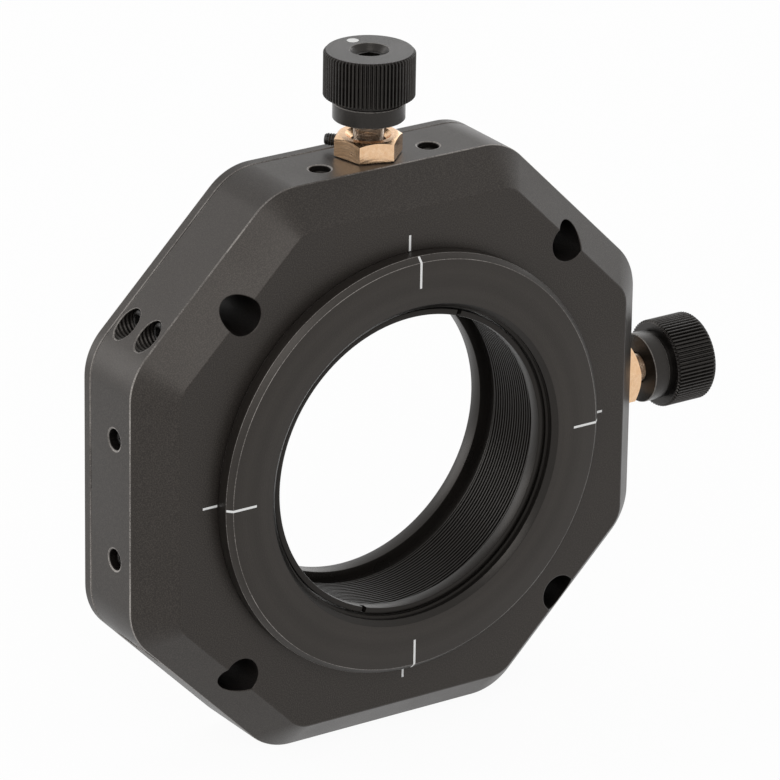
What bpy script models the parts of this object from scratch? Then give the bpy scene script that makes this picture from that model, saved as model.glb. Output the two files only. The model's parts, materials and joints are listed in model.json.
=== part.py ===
"""Two-axis translation mount for a 60 mm rod cage.

An octagonal housing rides on four rods. A fine screw at the top moves a frame up and down inside
it, a fine screw at the side moves the lens cell sideways in that frame, and spring plungers keep
both slides against the screws. Metres, +Z up, the optical axis along Y, the front face at y = 0
and the origin on the optical axis.
"""

from math import atan2, cos, pi, radians, sin, sqrt, tan

import bmesh
import bpy
from mathutils import Matrix, Vector

MM = 0.001

# Running fits
CLEARANCE = 0.3 * MM
SEAM = 0.2 * MM
TRAVEL = 1.0 * MM
SCREW_LEAD = 0.25 * MM

# Housing outline and walls
SIDE_WALL = 10.25 * MM
HOUSING_DEPTH = 17.1 * MM
CORNER_RADIUS = 10.0 * MM
BEVEL_WIDTH = 5.4 * MM
BEVEL_DEPTH = 5.7 * MM
FRONT_WALL = 4.3 * MM
EDGE_BREAK = 0.25 * MM
POCKET_CORNER = 3.0 * MM

# Rear cover and its screws
COVER_THICKNESS = 1.8 * MM
COVER_EDGE = 0.4 * MM
COVER_SCREW_INSET = 5.35 * MM
COVER_SCREW_ASIDE = 16.5 * MM
COVER_SCREW_RADIUS = 1.2 * MM
COVER_SCREW_LENGTH = 6.5 * MM
COVER_HEAD_RADIUS = 2.3 * MM
COVER_HEAD_HEIGHT = 1.1 * MM
COVER_SOCKET_WIDTH = 1.5 * MM

# Cage rods and the screws that grip them
ROD_SPACING = 60.0 * MM
ROD_BORE_RADIUS = 3.05 * MM
ROD_BORE_CHAMFER = 0.3 * MM
ROD_OUTER_WALL = 2.82 * MM
ROD_INNER_WALL = 0.92 * MM
CLAMP_OFFSET = 3.6 * MM
CLAMP_REAR_INSET = 2.5 * MM
CLAMP_PITCH = 6.0 * MM
CLAMP_HOLE_RADIUS = 2.05 * MM
CLAMP_SCREW_LENGTH = 6.0 * MM
CLAMP_SOCKET_WIDTH = 2.0 * MM

# Lens cell, turned in one piece with its flange
LENS_BORE_RADIUS = 25.45 * MM
LENS_BORE_MOUTH_CHAMFER = 1.17 * MM
BARREL_WALL = 4.05 * MM
BARREL_STEP = 0.95 * MM
FLANGE_OVERHANG = 5.15 * MM
FLANGE_HEIGHT = 3.23 * MM
FLANGE_CHAMFER = 0.84 * MM
CELL_RECESS = 1.2 * MM
RELIEF_DEPTH = 0.75 * MM
RELIEF_LENGTH = 1.8 * MM
SHOULDER_HEIGHT = 1.05 * MM
SHOULDER_LENGTH = 2.5 * MM

# Ring that holds the lens in the cell
RING_WALL = 0.95 * MM
RING_FRONT = -1.35 * MM
RING_THICKNESS = 2.2 * MM
RING_SLOT_WIDTH = 0.8 * MM
RING_SLOT_DEPTH = 1.0 * MM
RING_SLOT_TURN = 70.0
RING_EDGE = 0.2 * MM

# Slides
SLIDE_WALL = 2.5 * MM
SLIDE_DIAGONAL_WALL = 3.25 * MM
SLIDE_CORNER = 1.5 * MM
LOCK_RING_WALL = 2.3 * MM
LOCK_RING_THICKNESS = 1.3 * MM
FRAME_BAR = 3.0 * MM
BOSS_RADIUS = 3.4 * MM

# Adjusters, measured along their own axes from the optical axis
ADJUSTER_DEPTH = 11.9 * MM
BUSHING_RADIUS = 3.95 * MM
BUSHING_STANDOFF = 0.4 * MM
HEX_WIDTH = 9.525 * MM
HEX_HEIGHT = 3.15 * MM
HEX_CHAMFER = 0.5 * MM
HEX_EDGE = 0.14 * MM
TOP_HEX_TURN = 42.5
SIDE_HEX_TURN = 15.0
COUNTERSINK_RADIUS = 3.6 * MM
LOCK_SCREW_RADIUS = 1.0 * MM
LOCK_SCREW_REACH = 6.9 * MM
LOCK_SCREW_HEIGHT = 1.55 * MM
SCREW_RADIUS = 2.38 * MM
SCREW_IN_KNOB = 6.35 * MM
BALL_RADIUS = 1.5 * MM
BALL_EXPOSED = 0.9 * MM
PAD_RADIUS = 2.4 * MM
PAD_THICKNESS = 1.5 * MM
PAD_PROUD = 0.2 * MM

# Knobs
TOP_KNOB_GAP = 2.65 * MM
SIDE_KNOB_GAP = 2.3 * MM
KNOB_NECK_RADIUS = 5.65 * MM
KNOB_NECK_LENGTH = 3.55 * MM
KNOB_NECK_EDGE = 0.12 * MM
KNOB_GROOVE_WIDTH = 0.8 * MM
KNOB_GROOVE_DEPTH = 0.4 * MM
KNOB_RADIUS = 7.15 * MM
KNOB_GRIP_LENGTH = 7.45 * MM
KNOB_UNDER_CHAMFER = 0.25 * MM
KNOB_RIM = 0.4 * MM
KNOB_DISH_RADIUS = 3.05 * MM
KNOB_DISH_FLOOR = 2.3 * MM
KNOB_DISH_DEPTH = 1.0 * MM
KNOB_SOCKET_WIDTH = 3.2 * MM
KNOB_SOCKET_DEPTH = 2.0 * MM

# Spring plungers opposite the adjusters, and the plain tapped holes that match them
SIDE_HOLE_SPACING = 20.0 * MM
SIDE_HOLE_DEPTH = 10.2 * MM
SIDE_HOLE_RADIUS = 1.65 * MM
SIDE_HOLE_CHAMFER = 0.2 * MM
BLIND_HOLE_LENGTH = 7.5 * MM
PLUNGER_GUIDE = 2.2 * MM
PLUNGER_STEM_RADIUS = 0.6 * MM
PLUNGER_STEM_LENGTH = 1.5 * MM
SPRING_WIRE_RADIUS = 0.2 * MM
SPRING_TURNS = 4
PLUG_RECESS = 1.15 * MM
PLUG_LENGTH = 2.4 * MM
PLUG_SOCKET_WIDTH = 1.3 * MM

# Facets round a full circle
FINE = 48
MEDIUM = 24
COARSE = 12
KNOB_STEPS = 32
CORNER_STEPS = 4
POCKET_STEPS = 3
SLIDE_STEPS = 2
SLOT_STEPS = 5
SEAT_STEPS = 4

# Places that follow from the sizes above
ROD_OFFSET = ROD_SPACING / 2
ROD_DIAGONAL = ROD_OFFSET * sqrt(2)
DIAGONAL = ROD_DIAGONAL + ROD_BORE_RADIUS + ROD_OUTER_WALL
DIAGONAL_TRAVEL = TRAVEL / sqrt(2)
TRAVEL_REACH = TRAVEL * sqrt(2) + CLEARANCE
BARREL_RADIUS = LENS_BORE_RADIUS + BARREL_WALL
NECK_RADIUS = BARREL_RADIUS - BARREL_STEP
TAIL_RADIUS = NECK_RADIUS - BARREL_STEP
FLANGE_RADIUS = BARREL_RADIUS + FLANGE_OVERHANG
COVER_START = HOUSING_DEPTH + SEAM
COVER_END = COVER_START + COVER_THICKNESS
FRAME_START = FRONT_WALL + CLEARANCE
FRAME_END = COVER_START - CLEARANCE
SLIDE_START = FRAME_START + CLEARANCE
LOCK_RING_START = FRAME_END - LOCK_RING_THICKNESS
SLIDE_END = LOCK_RING_START - CLEARANCE
CELL_END = COVER_END - CELL_RECESS
SLIDE_BORE = NECK_RADIUS + CLEARANCE
SLIDE_HALF = BARREL_RADIUS + SLIDE_WALL
SLIDE_DIAGONAL = SLIDE_BORE + SLIDE_DIAGONAL_WALL
FRAME_INNER_Z = SLIDE_HALF + CLEARANCE
FRAME_INNER_X = SLIDE_HALF + TRAVEL + CLEARANCE
FRAME_INNER_DIAGONAL = SLIDE_DIAGONAL + DIAGONAL_TRAVEL + CLEARANCE
FRAME_HALF = FRAME_INNER_Z + FRAME_BAR
POCKET_X = FRAME_HALF + CLEARANCE
POCKET_Z = FRAME_HALF + TRAVEL + CLEARANCE
HALF = POCKET_Z + SIDE_WALL
COVER_SCREW_OUT = HALF - COVER_SCREW_INSET
POCKET_DIAGONAL = ROD_DIAGONAL - ROD_BORE_RADIUS - ROD_INNER_WALL
FRAME_DIAGONAL = POCKET_DIAGONAL - DIAGONAL_TRAVEL - CLEARANCE
CLAMP_HEIGHT = ROD_OFFSET - CLAMP_OFFSET
CLAMP_DEPTH = HOUSING_DEPTH - CLAMP_REAR_INSET - CLAMP_PITCH / 2
CLAMP_HOLE_END = ROD_OFFSET + ROD_BORE_RADIUS / 2
CLAMP_SCREW_START = ROD_OFFSET + ROD_BORE_RADIUS + ROD_INNER_WALL
PAD_FACE = FRAME_HALF + PAD_PROUD
PAD_FLOOR = PAD_FACE - PAD_THICKNESS - CLEARANCE
PAD_RECESS = PAD_RADIUS + CLEARANCE
BOSS_END = FRAME_HALF - TRAVEL
BALL_CENTRE = PAD_FACE + CLEARANCE + BALL_RADIUS
SCREW_END = BALL_CENTRE + BALL_RADIUS - BALL_EXPOSED
BUSHING_END = POCKET_Z + BUSHING_STANDOFF
BUSHING_BORE = SCREW_RADIUS + CLEARANCE
HEX_START = HALF + SEAM
HEX_END = HEX_START + HEX_HEIGHT
TOP_LOCK_TURN = TOP_HEX_TURN + 90
SIDE_LOCK_TURN = SIDE_HEX_TURN + 90
PLUNGER_SHOULDER = POCKET_Z + PLUNGER_GUIDE
PLUNGER_RADIUS = SIDE_HOLE_RADIUS - CLEARANCE
SPRING_START = PLUNGER_SHOULDER + CLEARANCE
PLUG_START = HALF - PLUG_RECESS - PLUG_LENGTH
SPRING_LENGTH = PLUG_START - CLEARANCE - SPRING_START
SIDE_HOLE_OFFSET = SIDE_HOLE_SPACING / 2

ALONG_Y = Matrix.Rotation(-pi / 2, 4, "X")
ALONG_X = Matrix.Rotation(pi / 2, 4, "Y")


def clear_scene():
    """Remove every object, mesh and material."""
    for item in list(bpy.data.objects):
        bpy.data.objects.remove(item, do_unlink=True)
    for group in (bpy.data.meshes, bpy.data.materials):
        for block in list(group):
            group.remove(block)


def make_material(name, colour, metallic, roughness):
    """Principled material from linear colour, metallic value and roughness."""
    material = bpy.data.materials.new(name)
    material.use_nodes = True
    shader = material.node_tree.nodes["Principled BSDF"]
    shader.inputs["Base Color"].default_value = (*colour, 1.0)
    shader.inputs["Metallic"].default_value = metallic
    shader.inputs["Roughness"].default_value = roughness
    material.diffuse_color = (*colour, 1.0)
    return material


def finished_mesh(name, shape, material=None):
    """Turn a bmesh into a mesh, shaded smooth except at sharp edges."""
    mesh = bpy.data.meshes.new(name)
    bmesh.ops.recalc_face_normals(shape, faces=shape.faces)
    shape.to_mesh(mesh)
    shape.free()
    mesh.shade_smooth()
    mesh.set_sharp_from_angle(angle=radians(30))
    if material is not None:
        mesh.materials.append(material)
    return mesh


def link_object(name, mesh, parent=None, matrix=None):
    """Put a mesh, or an empty, in the scene."""
    item = bpy.data.objects.new(name, mesh)
    bpy.context.scene.collection.objects.link(item)
    item.parent = parent
    if matrix is not None:
        item.matrix_local = matrix
    return item


def place(name, shape, material=None, parent=None, matrix=None):
    """Turn a bmesh into an object."""
    return link_object(name, finished_mesh(name, shape, material), parent, matrix)


def place_copies(name, shape, frames, material):
    """Numbered objects that share one mesh, one in each frame."""
    mesh = finished_mesh(name, shape, material)
    for number, frame in enumerate(frames, start=1):
        link_object(f"{name}_{number}", mesh, matrix=frame)


def apply_cut(target, name, shape, operation="DIFFERENCE", parent=None):
    """Boolean a hidden tool into the target."""
    tool = place(name, shape, parent=parent)
    tool.hide_render = True
    tool.display_type = "WIRE"
    modifier = target.modifiers.new(name, "BOOLEAN")
    modifier.operation = operation
    modifier.solver = "EXACT"
    modifier.object = tool


def merge(shapes):
    """Join several bmeshes into one, freeing the parts."""
    total = bmesh.new()
    for shape in shapes:
        mesh = bpy.data.meshes.new("part")
        shape.to_mesh(mesh)
        shape.free()
        total.from_mesh(mesh)
        bpy.data.meshes.remove(mesh)
    return total


def moved(shape, matrix):
    """Move a bmesh and hand it back."""
    bmesh.ops.transform(shape, matrix=matrix, verts=shape.verts)
    return shape


def turned(profile, steps):
    """Revolve a closed profile of (radius, height) points about Z."""
    shape = bmesh.new()
    points = [shape.verts.new((radius, 0, height)) for radius, height in profile]
    edges = [shape.edges.new((a, b)) for a, b in zip(points, points[1:])]
    if profile[0][0] > 0 or profile[-1][0] > 0:
        edges.append(shape.edges.new((points[-1], points[0])))
    bmesh.ops.spin(shape, geom=points + edges, cent=(0, 0, 0), axis=(0, 0, 1), angle=2 * pi,
                   steps=steps, use_merge=True)
    bmesh.ops.remove_doubles(shape, verts=shape.verts, dist=1e-7)
    bmesh.ops.recalc_face_normals(shape, faces=shape.faces)
    return shape


def rod(radius, start, end, steps):
    """Solid cylinder along Z."""
    return turned([(0, start), (radius, start), (radius, end), (0, end)], steps)


def tube(inner, outer, start, end, steps):
    """Hollow cylinder along Z."""
    return turned([(inner, start), (outer, start), (outer, end), (inner, end)], steps)


def skin_loops(shape, loops):
    """Bridge loops of vertices that hold the same number of points, and close both ends."""
    for low, high in zip(loops, loops[1:]):
        for index, vertex in enumerate(low):
            following = (index + 1) % len(low)
            shape.faces.new((vertex, low[following], high[following], high[index]))
    shape.faces.new(loops[0])
    shape.faces.new(loops[-1])
    bmesh.ops.recalc_face_normals(shape, faces=shape.faces)


def loft(rings):
    """Solid skinned through rings of points."""
    shape = bmesh.new()
    skin_loops(shape, [[shape.verts.new(point) for point in ring] for ring in rings])
    return shape


def extrude(outline, start, end):
    """Solid with one (x, z) outline between two depths along Y."""
    return loft([[(x, depth, z) for x, z in outline] for depth in (start, end)])


def round_corners(corners, radius, steps):
    """Replace each corner of an outline by an arc of the given radius."""
    outline = []
    count = len(corners)
    for index, corner in enumerate(corners):
        here = Vector(corner)
        before = (Vector(corners[index - 1]) - here).normalized()
        after = (Vector(corners[(index + 1) % count]) - here).normalized()
        half_angle = before.angle(after) / 2
        centre = here + (before + after).normalized() * radius / sin(half_angle)
        first = here + before * radius / tan(half_angle) - centre
        last = here + after * radius / tan(half_angle) - centre
        start = atan2(first.y, first.x)
        sweep = (atan2(last.y, last.x) - start + pi) % (2 * pi) - pi
        for step in range(steps + 1):
            angle = start + sweep * step / steps
            outline.append((centre.x + radius * cos(angle), centre.y + radius * sin(angle)))
    return outline


def octagon(half_x, half_z, diagonal, radius, steps):
    """Rounded octagon with flats at half_x and half_z and 45 degree flats at diagonal."""
    reach = diagonal * sqrt(2)
    quarter = [(half_x, reach - half_x), (reach - half_z, half_z)]
    corners = quarter + [(-x, z) for x, z in reversed(quarter)]
    corners += [(-x, -z) for x, z in corners]
    return round_corners(corners, radius, steps)


def outer_ring(inset, depth):
    """Housing outline, drawn in by an inset, at a depth along Y."""
    half = HALF - inset
    outline = octagon(half, half, DIAGONAL - inset, CORNER_RADIUS - inset, CORNER_STEPS)
    return [(x, depth, z) for x, z in outline]


def hex_prism(width, start, end, turn):
    """Six-sided prism along Z, its first corner at turn degrees."""
    radius = width / sqrt(3)
    angles = [radians(turn + 60 * k) for k in range(6)]
    return loft([[(radius * cos(a), radius * sin(a), height) for a in angles] for height in (start, end)])


def hex_ring(width, height, count):
    """Hexagonal loop with its points at the same angles as a circle of that count."""
    points = []
    for index in range(count):
        angle = 2 * pi * index / count
        radius = width / 2 / cos(angle % (pi / 3) - pi / 6)
        points.append((radius * cos(angle), radius * sin(angle), height))
    return points


def circle_ring(radius, height, count):
    """Round loop at one height."""
    angles = [2 * pi * index / count for index in range(count)]
    return [(radius * cos(angle), radius * sin(angle), height) for angle in angles]


def socket_screw(profile, socket, floor):
    """Screw along Z from (radius, height) points, with a hex socket in its upper end."""
    rings = [circle_ring(radius, height, COARSE) for radius, height in profile]
    top = profile[-1][1]
    return loft(rings + [hex_ring(socket, top, COARSE), hex_ring(socket, floor, COARSE)])


def stadium(half_length, half_width, steps):
    """Outline of a slot with round ends, long along its first coordinate."""
    outline = []
    for index in range(2 * steps + 2):
        side = 1 if index <= steps else -1
        angle = -pi / 2 + pi * index / steps if side > 0 else pi / 2 + pi * (index - steps - 1) / steps
        outline.append((side * (half_length - half_width) + half_width * cos(angle), half_width * sin(angle)))
    return outline


def spring_coil(radius, wire, length, turns, steps=8, sides=4):
    """Open coil along Z from height 0 to length."""
    shape = bmesh.new()
    count = turns * steps
    pitch = (length - 2 * wire) / turns
    loops = []
    for index in range(count + 1):
        angle = 2 * pi * index / steps
        outward = Vector((cos(angle), sin(angle), 0))
        centre = outward * radius + Vector((0, 0, wire + pitch * index / steps))
        loop = []
        for side in range(sides):
            around = 2 * pi * (side + 0.5) / sides
            offset = outward * cos(around) + Vector((0, 0, sin(around)))
            loop.append(shape.verts.new(centre + offset * wire))
        loops.append(loop)
    skin_loops(shape, loops)
    return shape


def rod_places():
    """The four rod axes as (x, z)."""
    return [(x, z) for x in (-ROD_OFFSET, ROD_OFFSET) for z in (-ROD_OFFSET, ROD_OFFSET)]


def cover_screw_places():
    """The eight cover screws as (x, z), two beside the middle of each flat."""
    out, aside = COVER_SCREW_OUT, COVER_SCREW_ASIDE
    upright = [(x, z) for x in (-aside, aside) for z in (-out, out)]
    return upright + [(z, x) for x, z in upright]


def along_depth(x, z):
    """Frame of a piece along Y at (x, z), its local Z towards the rear."""
    return Matrix.Translation((x, 0, z)) @ ALONG_Y


def into_side(direction, height, depth):
    """Frame of a hole in the left or right wall, its local Z pointing out of the wall."""
    turn = ALONG_X if direction > 0 else Matrix.Rotation(-pi / 2, 4, "Y")
    return Matrix.Translation((0, depth, height)) @ turn


def into_end(direction, across, depth):
    """Frame of a hole in the top or bottom wall, its local Z pointing out of the wall."""
    turn = Matrix.Rotation(0 if direction > 0 else pi, 4, "X")
    return Matrix.Translation((across, depth, 0)) @ turn


def side_hole_frames(bottom_and_left):
    """Frames of the paired small holes: bottom and left hold springs, top and right are blind."""
    direction = -1 if bottom_and_left else 1
    offsets = (-SIDE_HOLE_OFFSET, SIDE_HOLE_OFFSET)
    upright = [into_end(direction, offset, SIDE_HOLE_DEPTH) for offset in offsets]
    return upright + [into_side(direction, offset, SIDE_HOLE_DEPTH) for offset in offsets]


def clamp_frames():
    """Frames of the eight rod clamp holes, two side by side for each rod."""
    frames = []
    for direction in (-1, 1):
        for height in (-CLAMP_HEIGHT, CLAMP_HEIGHT):
            for step in (-0.5, 0.5):
                frames.append(into_side(direction, height, CLAMP_DEPTH + step * CLAMP_PITCH))
    return frames


def bored(start):
    """Tool for one small side hole, from a height to past the wall, with a chamfered mouth."""
    over = SIDE_HOLE_RADIUS + SIDE_HOLE_CHAMFER + CLEARANCE
    profile = [(0, start), (SIDE_HOLE_RADIUS, start), (SIDE_HOLE_RADIUS, HALF - SIDE_HOLE_CHAMFER),
               (over, HALF + CLEARANCE), (0, HALF + CLEARANCE)]
    return turned(profile, COARSE)


def make_housing(material, axes):
    """Octagonal shell with a bevelled front, a pocket for the slides and all its holes."""
    bevel = [outer_ring(BEVEL_WIDTH, 0), outer_ring(0, BEVEL_DEPTH)]
    rings = bevel + [outer_ring(0, HOUSING_DEPTH - EDGE_BREAK), outer_ring(EDGE_BREAK, HOUSING_DEPTH)]
    housing = place("housing", loft(rings), material)

    pocket = octagon(POCKET_X, POCKET_Z, POCKET_DIAGONAL, POCKET_CORNER, POCKET_STEPS)
    apply_cut(housing, "cut_pocket", extrude(pocket, FRONT_WALL, COVER_END))

    opening = moved(rod(BARREL_RADIUS + TRAVEL_REACH, -FRONT_WALL, 2 * FRONT_WALL, FINE), ALONG_Y)
    blind_start = HALF - BLIND_HOLE_LENGTH
    holes = [opening]
    for frame in side_hole_frames(bottom_and_left=False):
        holes.append(moved(bored(blind_start), frame))
    for frame in side_hole_frames(bottom_and_left=True):
        holes.append(moved(bored(FRAME_HALF), frame))
    tapped_start = COVER_END - COVER_SCREW_LENGTH - CLEARANCE
    for x, z in cover_screw_places():
        tapped = rod(COVER_SCREW_RADIUS + CLEARANCE, tapped_start, COVER_END, COARSE)
        holes.append(moved(tapped, along_depth(x, z)))
    apply_cut(housing, "cut_openings", merge(holes))

    bores = []
    for x, z in rod_places():
        mouth = [(0, -CLEARANCE), (ROD_BORE_RADIUS + ROD_BORE_CHAMFER + CLEARANCE, -CLEARANCE),
                 (ROD_BORE_RADIUS, ROD_BORE_CHAMFER), (ROD_BORE_RADIUS, COVER_END), (0, COVER_END)]
        bores.append(moved(turned(mouth, MEDIUM), along_depth(x, z)))
    apply_cut(housing, "cut_rod_bores", merge(bores))

    clamp_hole = (CLAMP_HOLE_RADIUS, CLAMP_HOLE_END, HALF + CLEARANCE, COARSE)
    clamps = [moved(rod(*clamp_hole), frame) for frame in clamp_frames()]
    apply_cut(housing, "cut_clamp_holes", merge(clamps))
    for axis in axes:
        hole = rod(BUSHING_RADIUS + CLEARANCE, FRAME_HALF, HALF + CLEARANCE, MEDIUM)
        apply_cut(housing, "cut_" + axis.name, hole, parent=axis)
    return housing


def make_rear_cover(material):
    """Thin plate that closes the pocket, with the same outline as the housing."""
    rings = [outer_ring(EDGE_BREAK, COVER_START), outer_ring(0, COVER_START + EDGE_BREAK),
             outer_ring(0, COVER_END - COVER_EDGE), outer_ring(COVER_EDGE, COVER_END)]
    cover = place("rear_cover", loft(rings), material)
    over = COVER_THICKNESS
    cuts = [moved(rod(TAIL_RADIUS + TRAVEL_REACH, COVER_START - over, COVER_END + over, FINE), ALONG_Y)]
    screw_hole = COVER_SCREW_RADIUS + CLEARANCE
    head_hole = COVER_HEAD_RADIUS + CLEARANCE
    for x, z in rod_places():
        edge = ROD_BORE_RADIUS + ROD_BORE_CHAMFER + CLEARANCE
        mouth = [(0, COVER_START - over), (ROD_BORE_RADIUS, COVER_START - over),
                 (ROD_BORE_RADIUS, COVER_END - ROD_BORE_CHAMFER), (edge, COVER_END + CLEARANCE),
                 (0, COVER_END + CLEARANCE)]
        cuts.append(moved(turned(mouth, MEDIUM), along_depth(x, z)))
    for x, z in cover_screw_places():
        sink = [(0, COVER_START - over), (screw_hole, COVER_START - over),
                (screw_hole, COVER_END - COVER_HEAD_HEIGHT - SEAM), (head_hole, COVER_END - SEAM),
                (head_hole, COVER_END + over), (0, COVER_END + over)]
        cuts.append(moved(turned(sink, COARSE), along_depth(x, z)))
    apply_cut(cover, "cut_cover", merge(cuts))


def make_cover_screws(material):
    """Eight flat-headed socket screws that hold the cover."""
    top = COVER_END - SEAM
    profile = [(COVER_SCREW_RADIUS, COVER_END - COVER_SCREW_LENGTH),
               (COVER_SCREW_RADIUS, top - COVER_HEAD_HEIGHT), (COVER_HEAD_RADIUS, top)]
    screw = socket_screw(profile, COVER_SOCKET_WIDTH, top - COVER_HEAD_HEIGHT / 2)
    frames = [along_depth(x, z) for x, z in cover_screw_places()]
    place_copies("cover_screw", screw, frames, material)


def make_set_screws(name, frames, radius, start, length, socket, material):
    """Headless screws with a hex socket in the outer end, one for each frame."""
    edge = radius / 6
    end = start + length
    profile = [(radius, start), (radius, end - edge), (radius - edge, end)]
    place_copies(name, socket_screw(profile, socket, end - length / 3), frames, material)


def make_lens_cell(material):
    """Flange, barrel and threaded lens bore, turned in one piece."""
    mouth = LENS_BORE_MOUTH_CHAMFER
    shoulder = LENS_BORE_RADIUS - SHOULDER_HEIGHT
    shoulder_start = CELL_END - SHOULDER_LENGTH
    relief = LENS_BORE_RADIUS + RELIEF_DEPTH
    relief_start = shoulder_start - RELIEF_LENGTH
    profile = [(LENS_BORE_RADIUS + mouth, -FLANGE_HEIGHT), (FLANGE_RADIUS - FLANGE_CHAMFER, -FLANGE_HEIGHT),
               (FLANGE_RADIUS, FLANGE_CHAMFER - FLANGE_HEIGHT), (FLANGE_RADIUS, -CLEARANCE),
               (BARREL_RADIUS, -CLEARANCE), (BARREL_RADIUS, FRAME_START), (NECK_RADIUS, FRAME_START),
               (NECK_RADIUS, FRAME_END), (TAIL_RADIUS, FRAME_END), (TAIL_RADIUS, CELL_END),
               (shoulder, CELL_END), (shoulder, shoulder_start), (relief, shoulder_start),
               (relief, relief_start), (LENS_BORE_RADIUS, relief_start),
               (LENS_BORE_RADIUS, mouth - FLANGE_HEIGHT)]
    return place("lens_cell", turned(profile, FINE), material, matrix=ALONG_Y)


def make_retaining_ring(material):
    """Threaded ring with two spanner slots."""
    outer = LENS_BORE_RADIUS - CLEARANCE
    inner = outer - RING_WALL
    back = RING_FRONT + RING_THICKNESS
    profile = [(inner + RING_EDGE, RING_FRONT), (outer - RING_EDGE, RING_FRONT),
               (outer, RING_FRONT + RING_EDGE), (outer, back), (inner, back), (inner, RING_FRONT + RING_EDGE)]
    ring = place("retaining_ring", turned(profile, FINE), material, matrix=ALONG_Y)
    half = RING_SLOT_WIDTH / 2
    reach = LENS_BORE_RADIUS
    bar = [(-reach, -half), (reach, -half), (reach, half), (-reach, half)]
    slot = extrude(bar, RING_FRONT - RING_THICKNESS, RING_FRONT + RING_SLOT_DEPTH)
    apply_cut(ring, "cut_ring_slots", moved(slot, Matrix.Rotation(-radians(RING_SLOT_TURN), 4, "Y")))


def make_lateral_slide(material, side_axis):
    """Block on the cell that slides sideways in the frame, with the boss the side screw pushes."""
    outline = octagon(SLIDE_HALF, SLIDE_HALF, SLIDE_DIAGONAL, SLIDE_CORNER, SLIDE_STEPS)
    slide = place("lateral_slide", extrude(outline, SLIDE_START, SLIDE_END), material)
    boss = rod(BOSS_RADIUS, SLIDE_HALF - CLEARANCE, BOSS_END, MEDIUM)
    apply_cut(slide, "add_boss", boss, "UNION", side_axis)
    recess = rod(PAD_RECESS, PAD_FLOOR, PAD_FACE + CLEARANCE, MEDIUM)
    apply_cut(slide, "cut_side_recess", recess, parent=side_axis)
    bore = moved(rod(SLIDE_BORE, SLIDE_START - FRONT_WALL, SLIDE_END + FRONT_WALL, FINE), ALONG_Y)
    apply_cut(slide, "cut_slide_bore", bore)


def make_vertical_frame(material, top_axis, side_axis):
    """Frame that slides up and down in the housing and guides the lateral slide."""
    corner = POCKET_CORNER - CLEARANCE
    outline = octagon(FRAME_HALF, FRAME_HALF, FRAME_DIAGONAL, corner, POCKET_STEPS)
    frame = place("vertical_frame", extrude(outline, FRAME_START, FRAME_END), material)
    inner = octagon(FRAME_INNER_X, FRAME_INNER_Z, FRAME_INNER_DIAGONAL, SLIDE_CORNER, SLIDE_STEPS)
    apply_cut(frame, "cut_frame", extrude(inner, FRAME_START - FRONT_WALL, FRAME_END + FRONT_WALL))
    recess = rod(PAD_RECESS, PAD_FLOOR, PAD_FACE + CLEARANCE, MEDIUM)
    apply_cut(frame, "cut_top_recess", recess, parent=top_axis)
    window = rod(BOSS_RADIUS + CLEARANCE, SLIDE_HALF, PAD_FACE, MEDIUM)
    apply_cut(frame, "cut_boss_window", window, parent=side_axis)
    slots = []
    outline = stadium(SIDE_HOLE_RADIUS + TRAVEL, SIDE_HOLE_RADIUS, SLOT_STEPS)
    for offset in (-SIDE_HOLE_OFFSET, SIDE_HOLE_OFFSET):
        slot = loft([[(*point, height) for point in outline] for height in (SLIDE_HALF, PAD_FACE)])
        slots.append(moved(slot, into_side(-1, offset, SIDE_HOLE_DEPTH)))
    apply_cut(frame, "cut_plunger_slots", merge(slots))


def make_lock_ring(material):
    """Ring screwed on the barrel behind the lateral slide."""
    ring = tube(SLIDE_BORE, SLIDE_BORE + LOCK_RING_WALL, LOCK_RING_START, FRAME_END, FINE)
    place("cell_lock_ring", ring, material, matrix=ALONG_Y)


def make_plungers(name, frames, contact, material):
    """Guided pins between the springs and a slide, with a stem inside the spring."""
    nose = PLUNGER_RADIUS / 3
    start = contact + CLEARANCE
    profile = [(0, start), (PLUNGER_RADIUS - nose, start), (PLUNGER_RADIUS, start + nose),
               (PLUNGER_RADIUS, PLUNGER_SHOULDER), (PLUNGER_STEM_RADIUS, PLUNGER_SHOULDER),
               (PLUNGER_STEM_RADIUS, PLUNGER_SHOULDER + PLUNGER_STEM_LENGTH),
               (0, PLUNGER_SHOULDER + PLUNGER_STEM_LENGTH)]
    place_copies(name, turned(profile, COARSE), frames, material)


def make_springs(name, frames, material):
    """Coil springs behind one pair of plungers."""
    radius = PLUNGER_RADIUS - SPRING_WIRE_RADIUS
    coil = spring_coil(radius, SPRING_WIRE_RADIUS, SPRING_LENGTH, SPRING_TURNS)
    place_copies(name, moved(coil, Matrix.Translation((0, 0, SPRING_START))), frames, material)


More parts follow.
